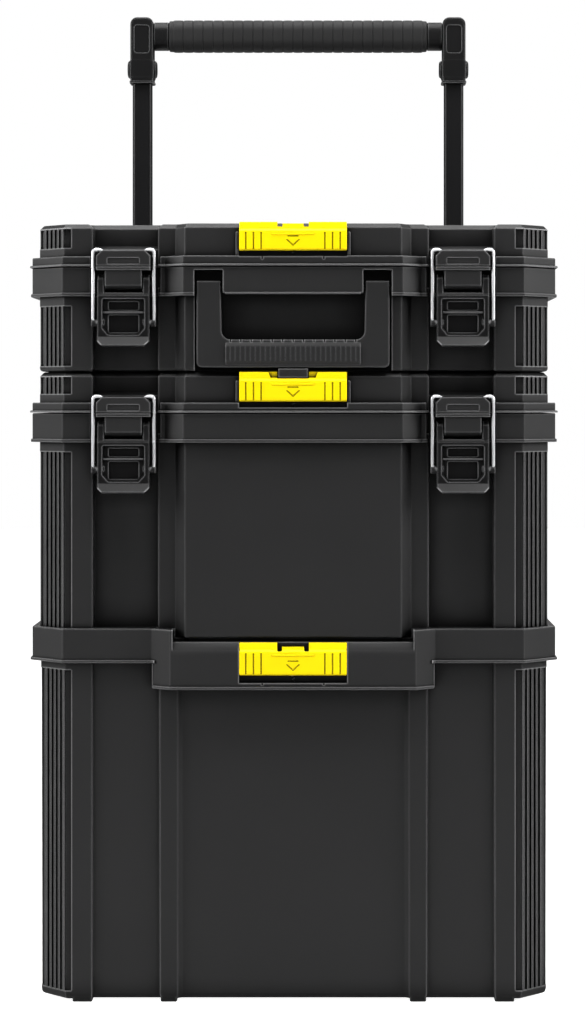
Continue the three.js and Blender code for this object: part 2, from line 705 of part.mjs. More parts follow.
const GRIP_MID = (GRIP_LOW + GRIP_TOP) / 2;
const GRIP_END = TUBE_X - 12.1;
const SLEEVE_END = 132;

function gripSection(width, height, radius) {
  return roundedBox(TUBE_Y, GRIP_MID, width, height, radius, 3);
}

function gripCore() {
  const core = prismX(gripSection(16, 20, 7), -GRIP_END, GRIP_END);
  const collars = bothSides((s) => {
    const [a, b] = [s > 0 ? SLEEVE_END + GAP : -GRIP_END, s > 0 ? GRIP_END : -SLEEVE_END - GAP];
    return prismX(gripSection(24, 29, 11), a, b);
  });
  return joined([core, ...collars]);
}

function gripSleeve() {
  const skin = prismX(gripSection(26.6, GRIP_TOP - GRIP_LOW, 13), -SLEEVE_END, SLEEVE_END);
  const bore = prismX(gripSection(16.6, 20.6, 7.3), -SLEEVE_END - 1, SLEEVE_END + 1);
  return skin.subtract(bore);
}

// ---------------------------------------------------------------- materials and assembly
const MATERIALS = {
  shell: { color: 0x2c2d30, roughness: 0.55, metalness: 0 },
  trim: { color: 0x1b1c1e, roughness: 0.35, metalness: 0 },
  yellow: { color: 0xffd400, roughness: 0.4, metalness: 0 },
  steel: { color: 0xc9ccd0, roughness: 0.25, metalness: 1 },
  painted: { color: 0x17181a, roughness: 0.3, metalness: 0.4 },
  rubber: { color: 0x141414, roughness: 0.8, metalness: 0 },
};

const model = new THREE.Group();

function place(name, finish, solid) {
  const mesh = new THREE.Mesh(toGeometry(solid), new THREE.MeshStandardMaterial(MATERIALS[finish]));
  mesh.name = name;
  model.add(mesh);
}

const SIDES = [["left", -1], ["right", 1]];

const binMoulding = bottomBin();
place("bottom_bin", "shell", binMoulding.intersect(block(-HALF - LIP, HALF + LIP, CENTRE - 10,
  TUBE_Y, 0, RIM_SPLIT - GAP / 2)));
place("bin_rim", "shell", binMoulding.intersect(block(-HALF - LIP, HALF + LIP, CENTRE - 10,
  TUBE_Y, RIM_SPLIT + GAP / 2, RIM_TOP)));
place("mid_tray", "shell", midTray());
place("mid_lid", "shell", midLid());
place("top_tray", "shell", topTray());
place("top_lid", "shell", topLid());
place("carry_handle", "trim", carryHandle());
place("bin_catch", "yellow", binCatch());
place("mid_catch", "yellow", midCatch());
place("top_catch", "yellow", topCatch());
place("bin_catch_spring", "steel", catchSpring(RIM_CENTRE_TOP - 36.4));
place("mid_catch_spring", "steel", catchSpring(MID_SEAM + 5.4));
place("top_catch_spring", "steel", catchSpring(TOP_SEAM + 9.4));
place("grip_core", "trim", gripCore());
place("grip_sleeve", "rubber", gripSleeve());

for (const [side, s] of SIDES) {
  place(`handle_sleeve_${side}`, "painted", tube(s, SLEEVE));
  place(`lower_clamp_${side}`, "trim", sleeveClamp(s, ...LOWER_CLAMP));
  place(`upper_clamp_${side}`, "trim", sleeveClamp(s, ...UPPER_CLAMP));
  place(`sleeve_collar_${side}`, "trim",
    collar(s, { x: 32, y: 26, z0: SLEEVE.z1 + GAP, z1: 357 }, MIDDLE));
  place(`middle_tube_${side}`, "painted", tube(s, MIDDLE));
  place(`middle_collar_${side}`, "trim",
    collar(s, { x: 30, y: 23, z0: MIDDLE.z1 + GAP, z1: 630 }, INNER));
  place(`inner_tube_${side}`, "painted", innerTube(s));
  place(`grip_bracket_${side}`, "trim", bracket(s));
  place(`bracket_pin_${side}`, "trim", bracketPin(s));
  place(`carry_pin_${side}`, "steel", carryPin(s));
  place(`axle_bolt_${side}`, "steel", axleBolt(s));
  place(`axle_nut_${side}`, "steel", axleNut(s));
  place(`wheel_hub_${side}`, "trim", wheelHub(s));
  place(`tyre_${side}`, "rubber", tyre(s));
  for (const [box, seam] of [["mid", MID_SEAM], ["top", TOP_SEAM]]) {
    place(`${box}_lever_${side}`, "trim", latchLever(seam, s));
    place(`${box}_lever_pin_${side}`, "steel", leverPin(seam, s));
    place(`${box}_bail_${side}`, "steel", latchBail(seam, s));
    place(`${box}_hinge_pin_${side}`, "steel",
      rodX(2, s * HINGE_X - 23.5, s * HINGE_X + 23.5, HINGE_Y, seam, HINGE_SIDES));
  }
}

export default model;
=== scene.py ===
"""Looks of the rolling tool box: moulded bin, middle box, carry case and pull handle."""

import math

import bmesh
import bpy
from bpy.props import FloatProperty, FloatVectorProperty, IntProperty, PointerProperty
from mathutils import Matrix, Vector


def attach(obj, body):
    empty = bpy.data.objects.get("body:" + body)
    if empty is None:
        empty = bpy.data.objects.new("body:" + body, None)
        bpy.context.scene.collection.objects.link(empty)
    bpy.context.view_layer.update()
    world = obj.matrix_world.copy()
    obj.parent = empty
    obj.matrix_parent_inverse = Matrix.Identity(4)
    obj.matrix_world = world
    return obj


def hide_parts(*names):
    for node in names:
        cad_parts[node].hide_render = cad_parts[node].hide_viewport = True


bl_info = {
    "name": "Rolling tool box",
    "version": (1, 0, 0),
    "blender": (4, 5, 0),
    "location": "View3D > Sidebar > Tool box",
    "description": "Builds a stacked tool box on wheels piece by piece",
    "category": "Object",
}

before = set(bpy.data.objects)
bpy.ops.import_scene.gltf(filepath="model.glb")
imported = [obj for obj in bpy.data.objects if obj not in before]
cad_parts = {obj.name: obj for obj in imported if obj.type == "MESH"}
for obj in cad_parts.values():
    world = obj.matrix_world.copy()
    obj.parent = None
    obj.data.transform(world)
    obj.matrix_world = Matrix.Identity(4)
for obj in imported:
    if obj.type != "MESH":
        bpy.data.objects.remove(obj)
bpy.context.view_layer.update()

MM = 0.001
SIDES = (("left", -1), ("right", 1))

# ------------------------------------------------------------ places, in millimetres
HALF = 242.6  # half width of a flange
BODY_HALF = HALF - 7
BIN_HALF = HALF - 8
WALL = 2.6
GAP = 0.3
FRONT, CENTRE = -142.0, -157.0  # flange faces beside and at the centre
BODY_FRONT, BODY_CENTRE = -137.0, -150.0
RECESS = -124.0  # back of the latch recesses
BOX_REAR, BODY_REAR, BIN_REAR = 89.0, 85.0, 122.0
CORNER = 25.0  # run of a corner chamfer
RIB_DEPTH = 3.0
RIB_WRAP = 30.0
PILASTER = 204.0
BIN_FLOOR = 2.5
# x where the centre face of an outline ends and its front face starts
BODY_FACET, BOX_FACET, BIN_FACET = (99.0, 108.0), (100.0, 117.5), (112.0, 130.0)
BODY_RECESS, FLANGE_RECESS = (124.4, 183.8), (122.0, 185.3)  # sides of a latch recess
RIM_DIP = 109.8  # half width of the low front edge of the bin rim
RIM_LOW, RIM_SIDE_LOW, RIM_CENTRE_TOP, RIM_TOP = 290.0, 313.0, 332.0, 343.5
MID_FLOOR, MID_SEAM, MID_TOP = 335.0, 541.0, 578.6
TOP_FLOOR, TOP_SEAM, TOP_TOP = 579.2, 675.0, 714.5
FLANGE_DOWN, LID_FLANGE = 25.0, 9.5
LATCH_X = 155.0
PIN_BORE, PIN_Y, PIN_DROP = 2.3, -143.0, 14.0  # the hole of a lever pin, below the seam
BAIL_Y, BAIL_DROP = -148.2, 51.0  # where a bail turns in its lever
CATCH_HALF, CATCH_FACE, CATCH_BACK = 49.0, -157.8, -150.3
CARRY_OUT, CARRY_IN, POCKET_BACK = 88.0, 65.0, -136.0
CARRY_PIVOT = (-148.0, 655.0)
HINGE_X, HINGE_Y, HINGE_R = 95.0, 94.0, 4.6
TUBE_X, TUBE_Y = 159.5, 146.0
WHEEL_R, WHEEL_Y = 62.5, 96.8
WHEEL_IN, WHEEL_OUT = 195.0, 226.0
OVERALL_REAR = 159.3


# ------------------------------------------------------------ outlines and solids
def offset_outline(points, grow):
    """Moves every side of a closed outline of (a, b, radius) corners outwards."""
    moved = []
    for i, (a, b, radius) in enumerate(points):
        following = points[(i + 1) % len(points)]
        before = Vector((a - points[i - 1][0], b - points[i - 1][1])).normalized()
        after = Vector((following[0] - a, following[1] - b)).normalized()
        out_a, out_b = Vector((before.y, -before.x)), Vector((after.y, -after.x))
        shift = (out_a + out_b) * (grow / (1 + out_a.dot(out_b)))
        turn = before.x * after.y - before.y * after.x
        rounder = radius + grow if turn > 0 else radius - grow
        moved.append((a + shift.x, b + shift.y, max(rounder, 0.15) if radius else 0))
    return moved


def ring(points, grow=0.0, steps=3):
    """The points of an outline with its corners rounded."""
    area = sum(points[i - 1][0] * p[1] - p[0] * points[i - 1][1]
               for i, p in enumerate(points))
    corners = offset_outline(points if area > 0 else points[::-1], grow)
    places = []
    for i, (a, b, radius) in enumerate(corners):
        corner = Vector((a, b))
        before = corner - Vector(corners[i - 1][:2])
        after = Vector(corners[(i + 1) % len(corners)][:2]) - corner
        turn = math.atan2(before.x * after.y - before.y * after.x, before.dot(after))
        if not radius or abs(turn) < 0.01:
            places.append(corner)
            continue
        slope = abs(math.tan(turn / 2))
        reach = min(radius * slope, 0.48 * min(before.length, after.length))
        before.normalize()
        start = corner - before * reach
        centre = start + Vector((-before.y, before.x)) * math.copysign(reach / slope, turn)
        for k in range(steps + 1):
            places.append(centre + Matrix.Rotation(turn * k / steps, 2) @ (start - centre))
    return places


AXES = {
    "Z": lambda a, b, t: (a * MM, b * MM, t * MM),
    "X": lambda a, b, t: (t * MM, a * MM, b * MM),
    "Y": lambda a, b, t: (a * MM, t * MM, b * MM),
}


def new_object(mesh, name="part"):
    """Turns a bmesh into an object of the scene, with its faces outwards."""
    bmesh.ops.recalc_face_normals(mesh, faces=mesh.faces)
    data = bpy.data.meshes.new(name)
    mesh.to_mesh(data)
    mesh.free()
    obj = bpy.data.objects.new(name, data)
    bpy.context.scene.collection.objects.link(obj)
    return obj


def loft(outline, levels, axis="Z", steps=3):
    """A closed solid through copies of an outline, each at (place, growth) on the axis."""
    mesh, place = bmesh.new(), AXES[axis]
    rings = [[mesh.verts.new(place(p.x, p.y, t)) for p in ring(outline, grow, steps)]
             for t, grow in levels]
    for low, high in zip(rings, rings[1:]):
        for i in range(len(low)):
            mesh.faces.new((low[i - 1], low[i], high[i], high[i - 1]))
    mesh.faces.new(rings[0][::-1])
    mesh.faces.new(rings[-1])
    return new_object(mesh)


def soft_ends(low, high, low_radius, high_radius=None, grow=0.0, steps=3):
    """Levels for a loft whose two ends are rounded."""
    high_radius = low_radius if high_radius is None else high_radius
    levels = []
    for sign, end, radius in ((1, low, low_radius), (-1, high, high_radius)):
        if radius:
            turns = [math.pi / 2 * k / steps for k in range(steps + 1)]
            curve = [(end + sign * radius * (1 - math.cos(t)),
                      grow - radius * (1 - math.sin(t))) for t in turns]
        else:
            curve = [(end, grow)]
        levels += curve if sign > 0 else curve[::-1]
    return levels


def rectangle(a0, a1, b0, b1, radius=1.0):
    """Outline of a rectangle with rounded corners."""
    return [(a0, b0, radius), (a1, b0, radius), (a1, b1, radius), (a0, b1, radius)]


def slab(x0, x1, y0, y1, z0, z1, radius=1.0, end=0.6, axis="Z"):
    """A rounded block; axis is the direction of its soft ends."""
    spans = {"X": ((y0, y1), (z0, z1), (x0, x1)), "Y": ((x0, x1), (z0, z1), (y0, y1)),
             "Z": ((x0, x1), (y0, y1), (z0, z1))}
    (a0, a1), (b0, b1), (t0, t1) = spans[axis]
    return loft(rectangle(a0, a1, b0, b1, radius), soft_ends(t0, t1, end, steps=2), axis, 2)


def circle(radius, a=0.0, b=0.0, sides=32):
    """Outline of a circle as (a, b, radius) corners."""
    return [(a + radius * math.cos(2 * math.pi * i / sides),
             b + radius * math.sin(2 * math.pi * i / sides), 0) for i in range(sides)]


def turned(profile, y, z, sides=64):
    """A ring about an axis along X, from a closed profile of (radius, x)."""
    mesh = bmesh.new()
    rings = []
    for i in range(sides):
        angle = 2 * math.pi * i / sides
        rings.append([mesh.verts.new((x * MM, (y + r * math.cos(angle)) * MM,
                                      (z + r * math.sin(angle)) * MM)) for r, x in profile])
    for i in range(sides):
        for k in range(len(profile)):
            mesh.faces.new((rings[i - 1][k - 1], rings[i][k - 1], rings[i][k], rings[i - 1][k]))
    return new_object(mesh)


def wire(points, radius, bend, sides=6):
    """A round wire through corner points in millimetres, with bends of a radius."""
    path = [Vector(points[0])]
    for before, corner, after in zip(points, points[1:], points[2:]):
        here = Vector(corner)
        back, on = Vector(before) - here, Vector(after) - here
        reach = min(bend, 0.45 * back.length, 0.45 * on.length)
        start, end = here + back.normalized() * reach, here + on.normalized() * reach
        for k in range(7):
            t = k / 6
            path.append(start * (1 - t) ** 2 + here * 2 * t * (1 - t) + end * t * t)
    path.append(Vector(points[-1]))
    curve = bpy.data.curves.new("wire", "CURVE")
    curve.dimensions, curve.bevel_depth = "3D", radius * MM
    curve.bevel_resolution, curve.use_fill_caps = sides, True
    spline = curve.splines.new("POLY")
    spline.points.add(len(path) - 1)
    for point, place in zip(spline.points, path):
        point.co = (*(place * MM), 1)
    obj = bpy.data.objects.new("wire", curve)
    bpy.context.scene.collection.objects.link(obj)
    graph = bpy.context.evaluated_depsgraph_get()
    data = bpy.data.meshes.new_from_object(obj.evaluated_get(graph))
    bpy.data.objects.remove(obj)
    mesh = bmesh.new()
    mesh.from_mesh(data)
    bmesh.ops.remove_doubles(mesh, verts=mesh.verts, dist=1e-6)
    return new_object(mesh)


def settle(obj):
    """Replaces an object's mesh by what its modifiers make of it."""
    graph = bpy.context.evaluated_depsgraph_get()
    data = bpy.data.meshes.new_from_object(
        obj.evaluated_get(graph), preserve_all_data_layers=True, depsgraph=graph)
    obj.modifiers.clear()
    obj.data = data
    return obj


def combine(base, tools, operation="UNION"):
    """Joins solids to a base, or cuts them out of it."""
    for tool in tools:
        step = base.modifiers.new("Combine", "BOOLEAN")
        step.operation, step.solver, step.object = operation, "MANIFOLD", tool
    settle(base)
    for tool in tools:
        bpy.data.objects.remove(tool)
    if not base.data.polygons:
        raise RuntimeError("a joined or cut solid came out empty")
    return base


def cut(base, tools):
    """Cuts solids out of a base."""
    return combine(base, tools, "DIFFERENCE")


def gather(objects):
    """Puts separate solids into one mesh."""
    mesh = bmesh.new()
    for obj in objects:
        mesh.from_mesh(obj.data)
        bpy.data.objects.remove(obj)
    return new_object(mesh)


# ------------------------------------------------------------ repeated shapes
def row_tree():
    """Geometry nodes that set copies of an object in a row, each turned a little more."""
    tree = bpy.data.node_groups.get("Row of copies")
    if tree:
        return tree
    tree = bpy.data.node_groups.new("Row of copies", "GeometryNodeTree")
    tree.interface.new_socket("Geometry", in_out="OUTPUT", socket_type="NodeSocketGeometry")
    for name, kind in (("Copy", "Object"), ("Count", "Int"), ("Start", "Vector"),
                       ("Step", "Vector"), ("Turn", "Vector"), ("Finish", "Material")):
        tree.interface.new_socket(name, in_out="INPUT", socket_type="NodeSocket" + kind)
    node, link = tree.nodes.new, tree.links.new
    given, out = node("NodeGroupInput"), node("NodeGroupOutput")
    source, number = node("GeometryNodeObjectInfo"), node("GeometryNodeInputIndex")
    walk, turn = node("ShaderNodeVectorMath"), node("ShaderNodeVectorMath")
    walk.operation, turn.operation = "MULTIPLY_ADD", "SCALE"
    points, place = node("GeometryNodePoints"), node("GeometryNodeInstanceOnPoints")
    angle = node("FunctionNodeEulerToRotation")
    solid, paint = node("GeometryNodeRealizeInstances"), node("GeometryNodeSetMaterial")
    spread = node("ShaderNodeCombineXYZ")
    for axis in "XYZ":
        link(number.outputs[0], spread.inputs[axis])
    link(spread.outputs[0], walk.inputs[0])
    link(given.outputs["Step"], walk.inputs[1])
    link(given.outputs["Start"], walk.inputs[2])
    link(given.outputs["Turn"], turn.inputs[0])
    link(number.outputs[0], turn.inputs["Scale"])
    link(turn.outputs[0], angle.inputs[0])
    link(given.outputs["Copy"], source.inputs["Object"])
    link(given.outputs["Count"], points.inputs["Count"])
    link(walk.outputs[0], points.inputs["Position"])
    link(points.outputs[0], place.inputs["Points"])
    link(source.outputs["Geometry"], place.inputs["Instance"])
    link(angle.outputs[0], place.inputs["Rotation"])
    link(place.outputs[0], solid.inputs[0])
    link(solid.outputs[0], paint.inputs["Geometry"])
    link(given.outputs["Finish"], paint.inputs["Material"])
    link(paint.outputs[0], out.inputs[0])
    return tree


def row(copy, count, start, step, turn=(0, 0, 0), keep=False):
    """Copies of a shape modelled about the origin; start and step in millimetres."""
    tree = row_tree()
    obj = bpy.data.objects.new("row", bpy.data.meshes.new("row"))
    bpy.context.scene.collection.objects.link(obj)
    nodes = obj.modifiers.new("Row", "NODES")
    nodes.node_group = tree
    values = {"Copy": copy, "Count": count, "Start": [v * MM for v in start],
              "Step": [v * MM for v in step], "Turn": turn, "Finish": finish("shell")}
    for item in tree.interface.items_tree:
        if item.in_out == "INPUT":
            nodes[item.identifier] = values[item.name]
    settle(obj)
    if not keep:
        bpy.data.objects.remove(copy)
    if not obj.data.polygons:
        raise RuntimeError("a row of copies came out empty")
    return obj


# ------------------------------------------------------------ finishes
def group(name, inputs, outputs):
    """A new shader node group with its sockets."""
    tree = bpy.data.node_groups.new(name, "ShaderNodeTree")
    for label, kind, value in inputs:
        socket = tree.interface.new_socket(label, in_out="INPUT", socket_type=kind)
        socket.default_value = value
    for label, kind in outputs:
        tree.interface.new_socket(label, in_out="OUTPUT", socket_type=kind)
    return tree, tree.nodes.new("NodeGroupInput"), tree.nodes.new("NodeGroupOutput")


FLOAT, COLOUR = "NodeSocketFloat", "NodeSocketColor"


def grain_group():
    """Fine moulded or painted grain: a height, and a roughness that drifts."""
    tree = bpy.data.node_groups.get("Surface grain")
    if tree:
        return tree
    tree, given, out = group("Surface grain", [
        ("Size", FLOAT, 900.0), ("Smooth", FLOAT, 0.4), ("Rough", FLOAT, 0.5)],
        [("Height", FLOAT), ("Roughness", FLOAT)])
    node, link = tree.nodes.new, tree.links.new
    where = node("ShaderNodeTexCoord")
    fine, broad = node("ShaderNodeTexNoise"), node("ShaderNodeTexNoise")
    fine.inputs["Detail"].default_value = 3.0
    broad.inputs["Scale"].default_value, broad.inputs["Detail"].default_value = 22.0, 4.0
    drift = node("ShaderNodeMapRange")
    drift.inputs["From Min"].default_value, drift.inputs["From Max"].default_value = 0.3, 0.7
    link(where.outputs["Object"], fine.inputs["Vector"])
    link(where.outputs["Object"], broad.inputs["Vector"])
    link(given.outputs["Size"], fine.inputs["Scale"])
    link(broad.outputs["Fac"], drift.inputs["Value"])
    link(given.outputs["Smooth"], drift.inputs["To Min"])
    link(given.outputs["Rough"], drift.inputs["To Max"])
    link(fine.outputs["Fac"], out.inputs["Height"])
    link(drift.outputs["Result"], out.inputs["Roughness"])
    return tree


def wear_and_painted_light_group():
    """Colour that drifts over the surface, pales along edges as wear and painted highlight, and
    darkens in corners and recesses as painted shade.
    """
    tree = bpy.data.node_groups.get("Edge wear and painted light")
    if tree:
        return tree
    tree, given, out = group("Edge wear and painted light", [
        ("Colour", COLOUR, (0.03, 0.03, 0.03, 1)), ("Edge", COLOUR, (0.1, 0.1, 0.1, 1)),
        ("Width", FLOAT, 0.001), ("Wear and highlight", FLOAT, 0.5), ("Drift", FLOAT, 0.2),
        ("Reach", FLOAT, 0.03)],
        [("Colour", COLOUR), ("Mask", FLOAT)])
    node, link = tree.nodes.new, tree.links.new

    def math_node(kind, first, second, third=None):
        made = node("ShaderNodeMath")
        made.operation = kind
        for socket, value in zip(made.inputs, (first, second, third)):
            if isinstance(value, bpy.types.NodeSocket):
                link(value, socket)
            elif value is not None:
                socket.default_value = value
        return made.outputs[0]

    def remap(value, low, high):
        made = node("ShaderNodeMapRange")
        made.inputs["From Min"].default_value = low
        made.inputs["From Max"].default_value = high
        link(value, made.inputs["Value"])
        return made.outputs["Result"]

    where, cloud = node("ShaderNodeTexCoord"), node("ShaderNodeTexNoise")
    cloud.inputs["Scale"].default_value, cloud.inputs["Detail"].default_value = 9.0, 5.0
    link(where.outputs["Object"], cloud.inputs["Vector"])
    within, near, wide = (node("ShaderNodeAmbientOcclusion") for _ in range(3))
    within.samples = near.samples = wide.samples = 6
    within.inside = within.only_local = True
    near.inputs["Distance"].default_value = 0.004
    link(given.outputs["Width"], within.inputs["Distance"])
    link(given.outputs["Reach"], wide.inputs["Distance"])
    # Edge mask: pale on convex edges, held off concave ones; partly edge wear, partly a painted
    # highlight along the edges.
    edge = math_node("MULTIPLY", remap(within.outputs["AO"], 0.97, 0.6),
                     remap(near.outputs["AO"], 0.6, 0.85))
    edge = math_node("MULTIPLY", edge, given.outputs["Wear and highlight"])
    drift = math_node("MULTIPLY_ADD", math_node("SUBTRACT", cloud.outputs["Fac"], 0.5),
                      given.outputs["Drift"], 1.0)
    # Painted shade: the colour darkens in corners, recesses and pockets, where wide occlusion
    # finds walls close by.
    shade = math_node("MULTIPLY", drift, remap(wide.outputs["AO"], 0.6, 0.8))
    tint, mix = node("ShaderNodeVectorMath"), node("ShaderNodeMix")
    tint.operation, mix.data_type = "SCALE", "RGBA"
    link(given.outputs["Colour"], tint.inputs[0])
    link(shade, tint.inputs["Scale"])
    link(edge, mix.inputs["Factor"])
    link(tint.outputs[0], mix.inputs["A"])
    link(given.outputs["Edge"], mix.inputs["B"])
    link(mix.outputs["Result"], out.inputs["Colour"])
    link(edge, out.inputs["Mask"])
    return tree


# finish: (colour property, edge colour property, edge wear and painted highlight strength,
#          grain size, grain depth, smooth, rough, metallic, specular level)
FINISHES = {
    "shell": ("shell", "shell_edge_highlight_and_wear", 0.8, 1500.0, 0.05, 0.40, 0.52, 0.0, 0.16),
    "trim": ("trim", "trim_edge_highlight_and_wear", 0.8, 1200.0, 0.02, 0.34, 0.44, 0.0, 0.1),
    "yellow": ("yellow", "yellow_edge_highlight_and_wear", 0.25, 1200.0, 0.02, 0.40, 0.50, 0.0, 0.12),
    "steel": ("steel", "steel_edge_highlight_and_wear", 0.3, 500.0, 0.01, 0.16, 0.28, 0.5, 0.5),
    "painted": ("painted", "painted_edge_highlight_and_wear", 0.15, 2200.0, 0.03, 0.34, 0.46, 0.0, 0.12),
    "rubber": ("rubber", "rubber_edge_highlight_and_wear", 0.35, 1800.0, 0.08, 0.62, 0.78, 0.0, 0.2),
}


def finish(name):
    """The procedural material of a finish, made the first time it is asked for."""
    title = f"{name}_finish"
    if title in bpy.data.materials:
        return bpy.data.materials[title]
    colour, edge, wear_and_highlight, size, depth, smooth, rough, metal, gloss = FINISHES[name]
    paints = bpy.context.scene.tool_box_colours
    material = bpy.data.materials.new(title)
    material.use_nodes = True
    tree = material.node_tree
    shader = tree.nodes["Principled BSDF"]
    grain, wear_and_light = tree.nodes.new("ShaderNodeGroup"), tree.nodes.new("ShaderNodeGroup")
    grain.node_tree, wear_and_light.node_tree = grain_group(), wear_and_painted_light_group()
    grain.inputs["Size"].default_value = size
    grain.inputs["Smooth"].default_value, grain.inputs["Rough"].default_value = smooth, rough
    # The base colour carries edge wear, a painted highlight along edges and painted shade in
    # corners and recesses.
    wear_and_light.inputs["Colour"].default_value = (*getattr(paints, colour), 1)
    wear_and_light.inputs["Edge"].default_value = (*getattr(paints, edge), 1)
    wear_and_light.inputs["Width"].default_value = bpy.context.scene.tool_box_sizes.edge_wear_and_highlight
    wear_and_light.inputs["Wear and highlight"].default_value = wear_and_highlight
    bump = tree.nodes.new("ShaderNodeBump")
    bump.inputs["Strength"].default_value, bump.inputs["Distance"].default_value = depth, MM
    tree.links.new(wear_and_light.outputs["Colour"], shader.inputs["Base Color"])
    tree.links.new(grain.outputs["Roughness"], shader.inputs["Roughness"])
    tree.links.new(grain.outputs["Height"], bump.inputs["Height"])
    tree.links.new(bump.outputs[0], shader.inputs["Normal"])
    shader.inputs["Metallic"].default_value = metal
    shader.inputs["Specular IOR Level"].default_value = gloss
    if name in ("trim", "painted"):
        shader.inputs["Coat Weight"].default_value = 0.03
        shader.inputs["Coat Roughness"].default_value = 0.2
    return material


def finished(obj, name, body, look, replaced=(), sharp=38):
    """Names a piece, gives it its finish and normals, and sets it on its body."""
    obj.name = obj.data.name = name
    mesh = bmesh.new()
    mesh.from_mesh(obj.data)
    bmesh.ops.remove_doubles(mesh, verts=mesh.verts, dist=2e-6)
    bmesh.ops.dissolve_degenerate(mesh, edges=mesh.edges, dist=1e-6)
    mesh.to_mesh(obj.data)
    mesh.free()
    obj.data.materials.clear()
    obj.data.materials.append(finish(look))
    obj.data.polygons.foreach_set("material_index", [0] * len(obj.data.polygons))
    obj.data.shade_smooth()
    obj.data.set_sharp_from_angle(angle=math.radians(sharp))
    weigh = obj.modifiers.new("Normals", "WEIGHTED_NORMAL")
    weigh.keep_sharp, weigh.weight = True, 80
    settle(obj)
    obj.data.name = name
    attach(obj, body)
    if replaced:
        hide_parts(*replaced)
    return obj


# ------------------------------------------------------------ box shells
def both_sides(right):
    """Completes the right half of an outline with its mirror image."""
    return right + [(-x, y, radius) for x, y, radius in reversed(right)]


def body_plan(half=BODY_HALF, centre=BODY_CENTRE, rear=BODY_REAR, recess=RECESS,
              recess_x=BODY_RECESS, facet=BODY_FACET, set_back=False):
    """Outline of a box seen from above; set_back leaves out the room of the corner ribs."""
    start = [(facet[0], centre, 2), (facet[1], BODY_FRONT, 2),
             (recess_x[0], BODY_FRONT, 1.5), (recess_x[0], recess, 1),
             (recess_x[1], recess, 1), (recess_x[1], BODY_FRONT, 1.5)]
    if not set_back:
        return both_sides([*start, (half - CORNER, BODY_FRONT, 1.8),
                           (half, BODY_FRONT + CORNER, 1.8), (half, rear - CORNER, 1.8),
                           (half - CORNER, rear, 1.8)])
    front, side = BODY_FRONT + RIB_DEPTH, half - RIB_DEPTH
    return both_sides([
        *start, (PILASTER, BODY_FRONT, 0.5), (PILASTER, front, 0.5), (half - CORNER, front, 1),
        (side, BODY_FRONT + CORNER, 1), (side, BODY_FRONT + RIB_WRAP, 0.5),
        (half, BODY_FRONT + RIB_WRAP, 0.5), (half, rear - RIB_WRAP, 0.5),
        (side, rear - RIB_WRAP, 0.5), (side, rear - CORNER, 1),
        (half - CORNER, rear - RIB_DEPTH, 1), (PILASTER, rear - RIB_DEPTH, 0.5),
        (PILASTER, rear, 0.5)])


def flange_plan(rear=BOX_REAR, facet=BOX_FACET, recessed=True):
    """Outline of a flange seen from above, with or without the latch recesses."""
    near, far = FLANGE_RECESS
    recess = [(near, FRONT, 1), (near, RECESS, 0.6), (far, RECESS, 0.6),
              (far, FRONT, 1.2)] if recessed else []
    run = CORNER + 6
    return both_sides([
        (facet[0], CENTRE, 1.8), (facet[1], FRONT, 1.8), *recess,
        (HALF - run, FRONT, 1.6), (HALF, FRONT + run, 1.6), (HALF, rear - run, 1.6),
        (HALF - run, rear, 1.6)])


BIN_SHAPE = (BIN_HALF, BODY_FRONT + 4, BIN_REAR, BODY_FRONT + 4, (123.4, 184.0), (102.0, 106.0))
BIN_PLAN = body_plan(*BIN_SHAPE)
BIN_HOLLOW = body_plan(*BIN_SHAPE, set_back=True)


def corner_rooms(half, rear, low, high):
    """Cutters that set the ribbed corners back, all four."""
    front, deep = BODY_FRONT, BODY_FRONT + RIB_DEPTH
    wrap, outer = front + RIB_WRAP, half + 9
    corner = [
        (PILASTER, front - 9, 0), (outer, front - 9, 0), (outer, wrap, 0),
        (half - RIB_DEPTH, wrap, 0.8), (half - RIB_DEPTH, front + CORNER, 0.8),
        (half - CORNER, deep, 0.8), (PILASTER, deep, 0.8)]
    rooms = []
    for side in (-1, 1):
        for flip in (False, True):
            plan = [(side * x, front + rear - y if flip else y, r) for x, y, r in corner]
            rooms.append(loft(plan, [(low, 0), (high, 0)]))
    return rooms


def corner_ribs(name, body, half, rear, low, high):
    """Rows of upright ribs that stand on the set-back corners."""
    sizes = bpy.context.scene.tool_box_sizes
    wide = sizes.rib_width / MM
    bar = [(wide / math.sqrt(2) * math.cos(k * math.pi / 2),
            wide / math.sqrt(2) * math.sin(k * math.pi / 2), 0.8) for k in range(4)]
    stand_out = RIB_DEPTH / math.sqrt(2) - wide / 2
    shift = stand_out / math.sqrt(2)
    step = sizes.rib_pitch / MM / math.sqrt(2)
    first = half - CORNER + 0.8
    rows = []
    for side in (-1, 1):
        for rear_side in (-1, 1):
            x = first + shift
            y = BODY_FRONT + RIB_DEPTH + 0.8 - shift
            if rear_side > 0:
                y = BODY_FRONT + rear - y
            copy = loft(bar, soft_ends(low, high, 1.2, 1.2, steps=2), steps=2)
            rows.append(row(copy, sizes.rib_count, (side * x, y, 0),
                            (side * step, -rear_side * step, 0)))
    return finished(gather(rows), name, body, "shell")


def knuckle(x0, x1, seam, up):
    """One barrel of a lid hinge with the arm that carries it."""
    barrel = loft(circle(HINGE_R, HINGE_Y, seam, 24), soft_ends(x0, x1, 0.5, steps=2), "X")
    z0, z1 = (seam + GAP, seam + LID_FLANGE) if up else (seam - LID_FLANGE, seam - GAP)
    arm = slab(x0, x1, BOX_REAR - 3, HINGE_Y, z0, z1, 0.6, 0.4, "X")
    return [barrel, arm]


def rod_x(radius, x0, x1, y, z, sides=24):
    """A round rod along X."""
    return loft(circle(radius, y, z, sides), [(x0, 0), (x1, 0)], "X")


